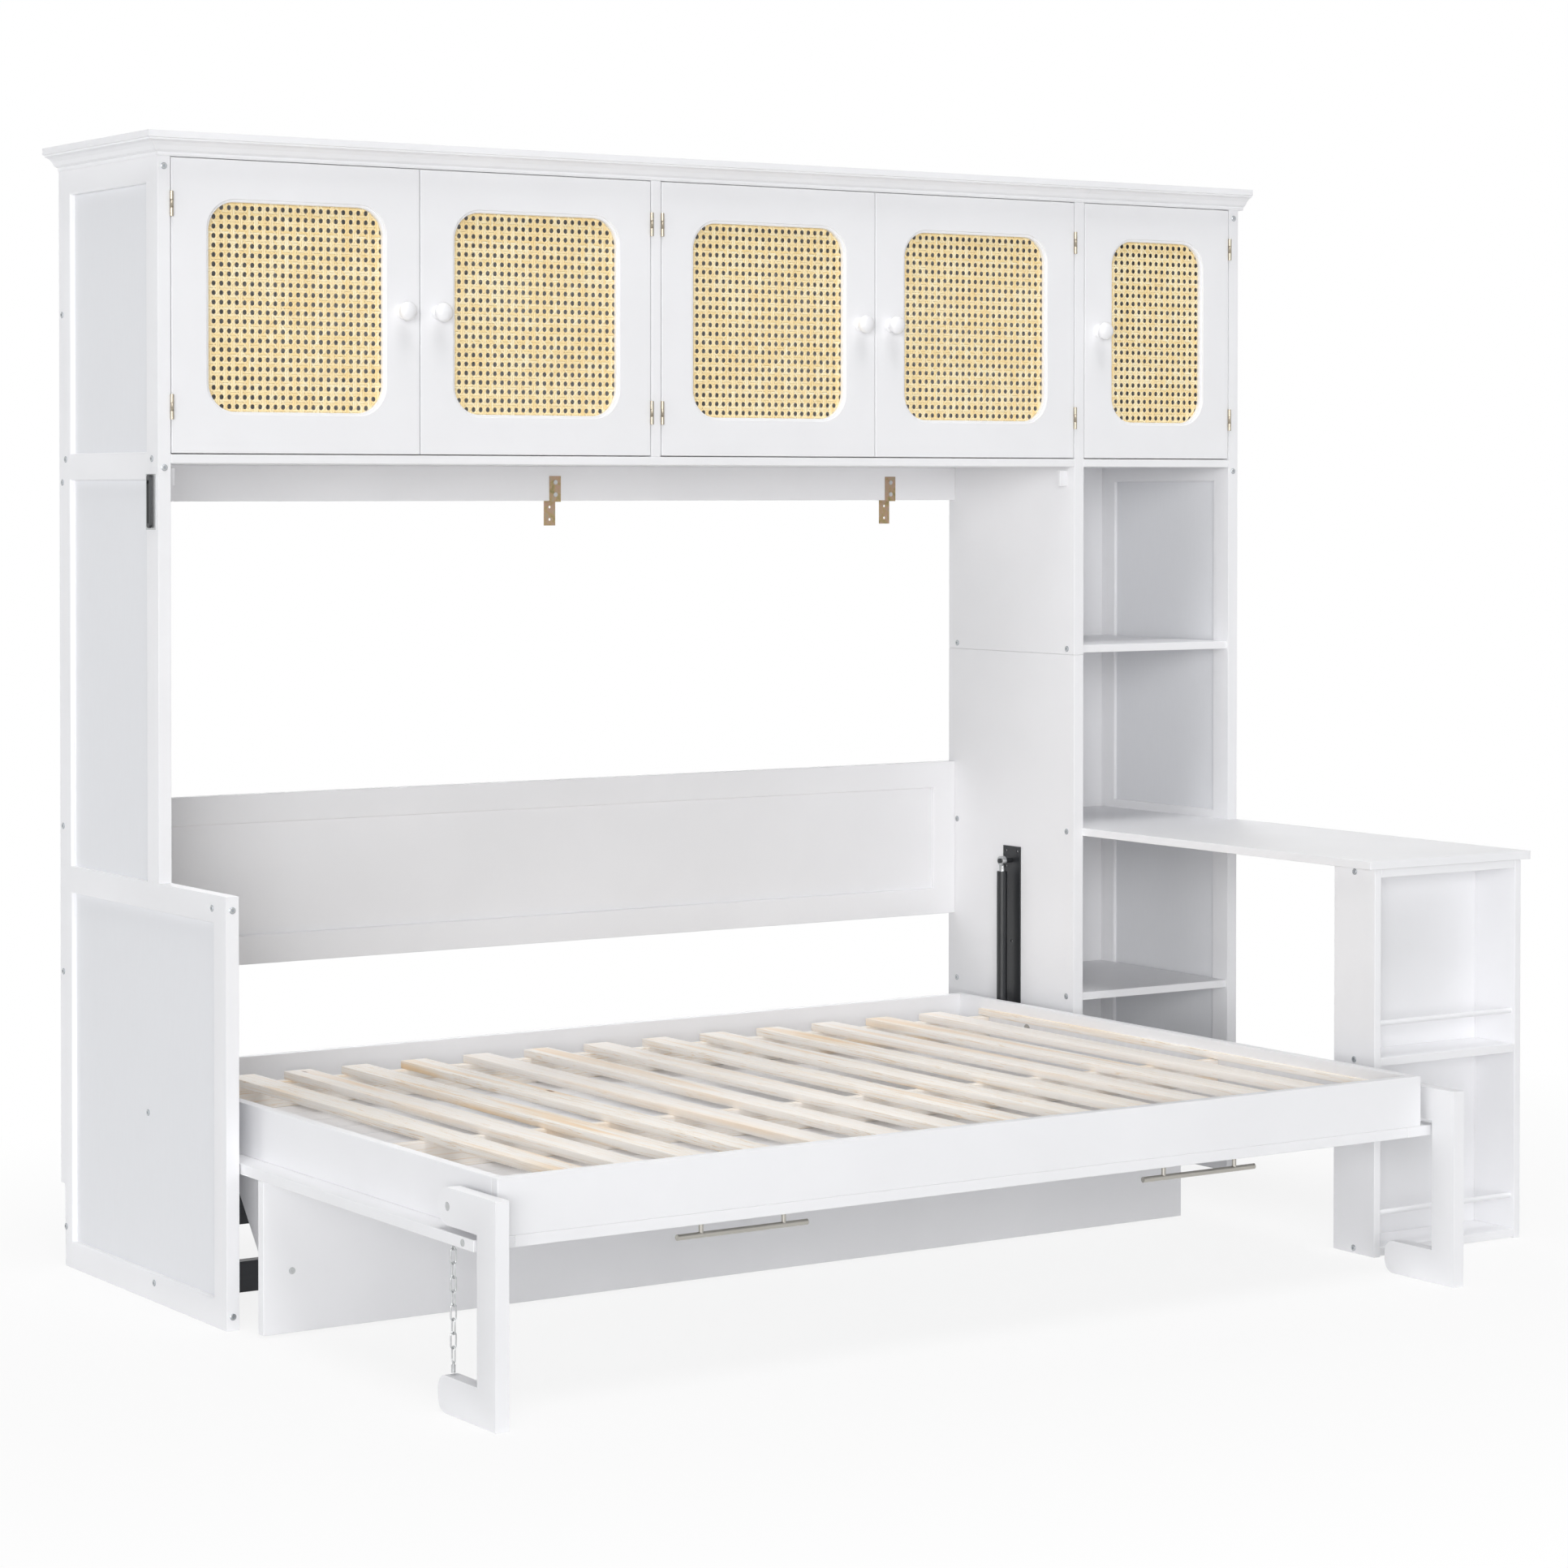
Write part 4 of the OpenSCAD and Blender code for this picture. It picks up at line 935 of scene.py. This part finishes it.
class WALLBED_OT_stage(bpy.types.Operator):
    """Floor, soft lamps and the camera"""
    bl_idname = "wallbed.stage"
    bl_label = "Floor, light and camera"

    # camera place in metres and its turn in degrees, solved from the boards' edges
    CAMERA = (-4.2028, -5.9036, 1.4556)
    TURN = (89.023, 0, -32.51)
    # sensor's width and lens in mm, shift as shares of the picture's width, and
    # how far the camera sees in metres
    SENSOR, LENS = 36, 88.53
    SHIFT = (0.0857, -0.1461)
    FAR = 60
    # the point in metres that every lamp points at
    AIM = (0, 0, 0.9)
    # half the floor's side, its underside and its top, in metres
    FLOOR_REACH, FLOOR_FOOT, FLOOR_TOP = 30, -0.06, -0.0005
    # near the bed this share of the floor is seen as plain white and the rest as
    # lit; it grows to all of it between two distances in metres, which are 1.5
    # times as long along the wall
    WHITE_NEAR, FADE_FROM, FADE_TO, FADE_WIDE = 0.86, 0.9, 2.2, 1.5
    # name, kind, place in metres, side in metres or a sun's angle in radians,
    # watts or a sun's strength
    LAMPS = (
        ("key_sun", "SUN", (-6.2, -7.7, 1.6), 0.5, 1.46),
        ("left_sun", "SUN", (-9.8, -1.6, 2.2), 0.5, 0.5),
        ("top_sun", "SUN", (-1.17, -3.21, 10.3), 0.5, 1.3),
        ("back_sun", "SUN", (4.41, 7.65, 5.59), 0.3, 0.4),
        ("camera_softbox", "AREA", (-4.5, -7.2, 1.6), 3.0, 120),
    )

    def execute(self, context):
        stage = context.scene.wallbed_stage
        self.floor(stage)
        self.world(stage)
        for lamp in self.LAMPS:
            self.lamp(stage, *lamp)
        data = bpy.data.cameras.new("photo_camera")
        data.sensor_width = self.SENSOR
        data.lens = self.LENS
        data.shift_x, data.shift_y = self.SHIFT
        data.clip_end = self.FAR
        camera = bpy.data.objects.new("photo_camera", data)
        camera.location = self.CAMERA
        camera.rotation_euler = [math.radians(a) for a in self.TURN]
        context.scene.collection.objects.link(camera)
        context.scene.camera = camera
        context.scene.view_settings.view_transform = "Standard"
        return {"FINISHED"}

    def floor(self, stage):
        """A wide floor that fades to white with distance and keeps the shadow."""
        bm = bmesh.new()
        reach = self.FLOOR_REACH
        solid_box(bm, (-reach, -reach, self.FLOOR_FOOT), (reach, reach, self.FLOOR_TOP))
        floor = bpy.data.objects.new("floor", mesh_from(bm, "floor"))
        bpy.context.scene.collection.objects.link(floor)
        material = bpy.data.materials.new("plaster_floor_painted")
        tree = empty_tree(material)
        place = put(tree, "TexCoord").outputs["Object"]
        near = put(tree, "VectorMath", {0: put(tree, "Mapping", {
            "Vector": place, "Scale": (1 / self.FADE_WIDE, 1, 1)})}, operation="LENGTH")
        share = put(tree, "Math", {0: seen_as_background(tree), 1: put(tree, "MapRange", {
            "Value": near.outputs["Value"], "From Min": self.FADE_FROM,
            "From Max": self.FADE_TO, "To Min": self.WHITE_NEAR,
            "To Max": 1.0})}, operation="MULTIPLY")
        put(tree, "OutputMaterial", {"Surface": put(tree, "MixShader", {
            0: share,
            1: put(tree, "BsdfDiffuse", {"Color": rgba(stage.floor)}),
            2: put(tree, "Emission", {"Color": (1, 1, 1, 1), "Strength": 1.0})})})
        floor.data.materials.append(material)

    @staticmethod
    def world(stage):
        """An even sky that the camera and the metals see as white."""
        world = bpy.data.worlds.new("studio")
        tree = empty_tree(world)
        put(tree, "OutputWorld", {"Surface": put(tree, "MixShader", {
            0: seen_as_background(tree),
            1: put(tree, "Background", {"Color": rgba("F4F7FB"), "Strength": stage.sky}),
            2: put(tree, "Background", {"Color": (1, 1, 1, 1), "Strength": 1.0})})})
        bpy.context.scene.world = world

    def lamp(self, stage, name, kind, place, size, power):
        """One lamp that points at the middle of the wall bed."""
        data = bpy.data.lights.new(name, kind)
        if kind == "SUN":
            data.angle = size
        else:
            data.size = size
        data.energy = power * stage.lamps
        lamp = bpy.data.objects.new(name, data)
        lamp.location = place
        lamp.rotation_mode = "QUATERNION"
        lamp.rotation_quaternion = (
            Vector(self.AIM) - Vector(place)).to_track_quat("-Z", "Y")
        bpy.context.scene.collection.objects.link(lamp)


STEPS = (
    WALLBED_OT_boards, WALLBED_OT_panels, WALLBED_OT_doors, WALLBED_OT_cane,
    WALLBED_OT_knobs, WALLBED_OT_slats, WALLBED_OT_bolt_heads,
    WALLBED_OT_two_finishes, WALLBED_OT_hardware, WALLBED_OT_stage,
)


class WALLBED_PT_panel(bpy.types.Panel):
    """Lists the wall bed's steps"""
    bl_label = "Wall bed"
    bl_idname = "WALLBED_PT_panel"
    bl_space_type = "VIEW_3D"
    bl_region_type = "UI"
    bl_category = "Wall bed"

    def draw(self, context):
        scene = context.scene
        for group in (scene.wallbed_sizes, scene.wallbed_colours, scene.wallbed_stage):
            box = self.layout.box()
            for key in group.__annotations__:
                box.prop(group, key)
        for step in STEPS:
            self.layout.operator(step.bl_idname)


GROUPS = {
    "wallbed_sizes": WALLBED_PG_sizes,
    "wallbed_colours": WALLBED_PG_colours,
    "wallbed_stage": WALLBED_PG_stage,
}


def register():
    for cls in (*GROUPS.values(), *STEPS, WALLBED_PT_panel):
        bpy.utils.register_class(cls)
    for name, cls in GROUPS.items():
        setattr(bpy.types.Scene, name, bpy.props.PointerProperty(type=cls))


def unregister():
    for name in GROUPS:
        delattr(bpy.types.Scene, name)
    for cls in reversed((*GROUPS.values(), *STEPS, WALLBED_PT_panel)):
        bpy.utils.unregister_class(cls)


def main():
    """Registers the add-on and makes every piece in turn."""
    register()
    for step in STEPS:
        family, action = step.bl_idname.split(".")
        getattr(getattr(bpy.ops, family), action)()


if __name__ == "__main__":
    main()
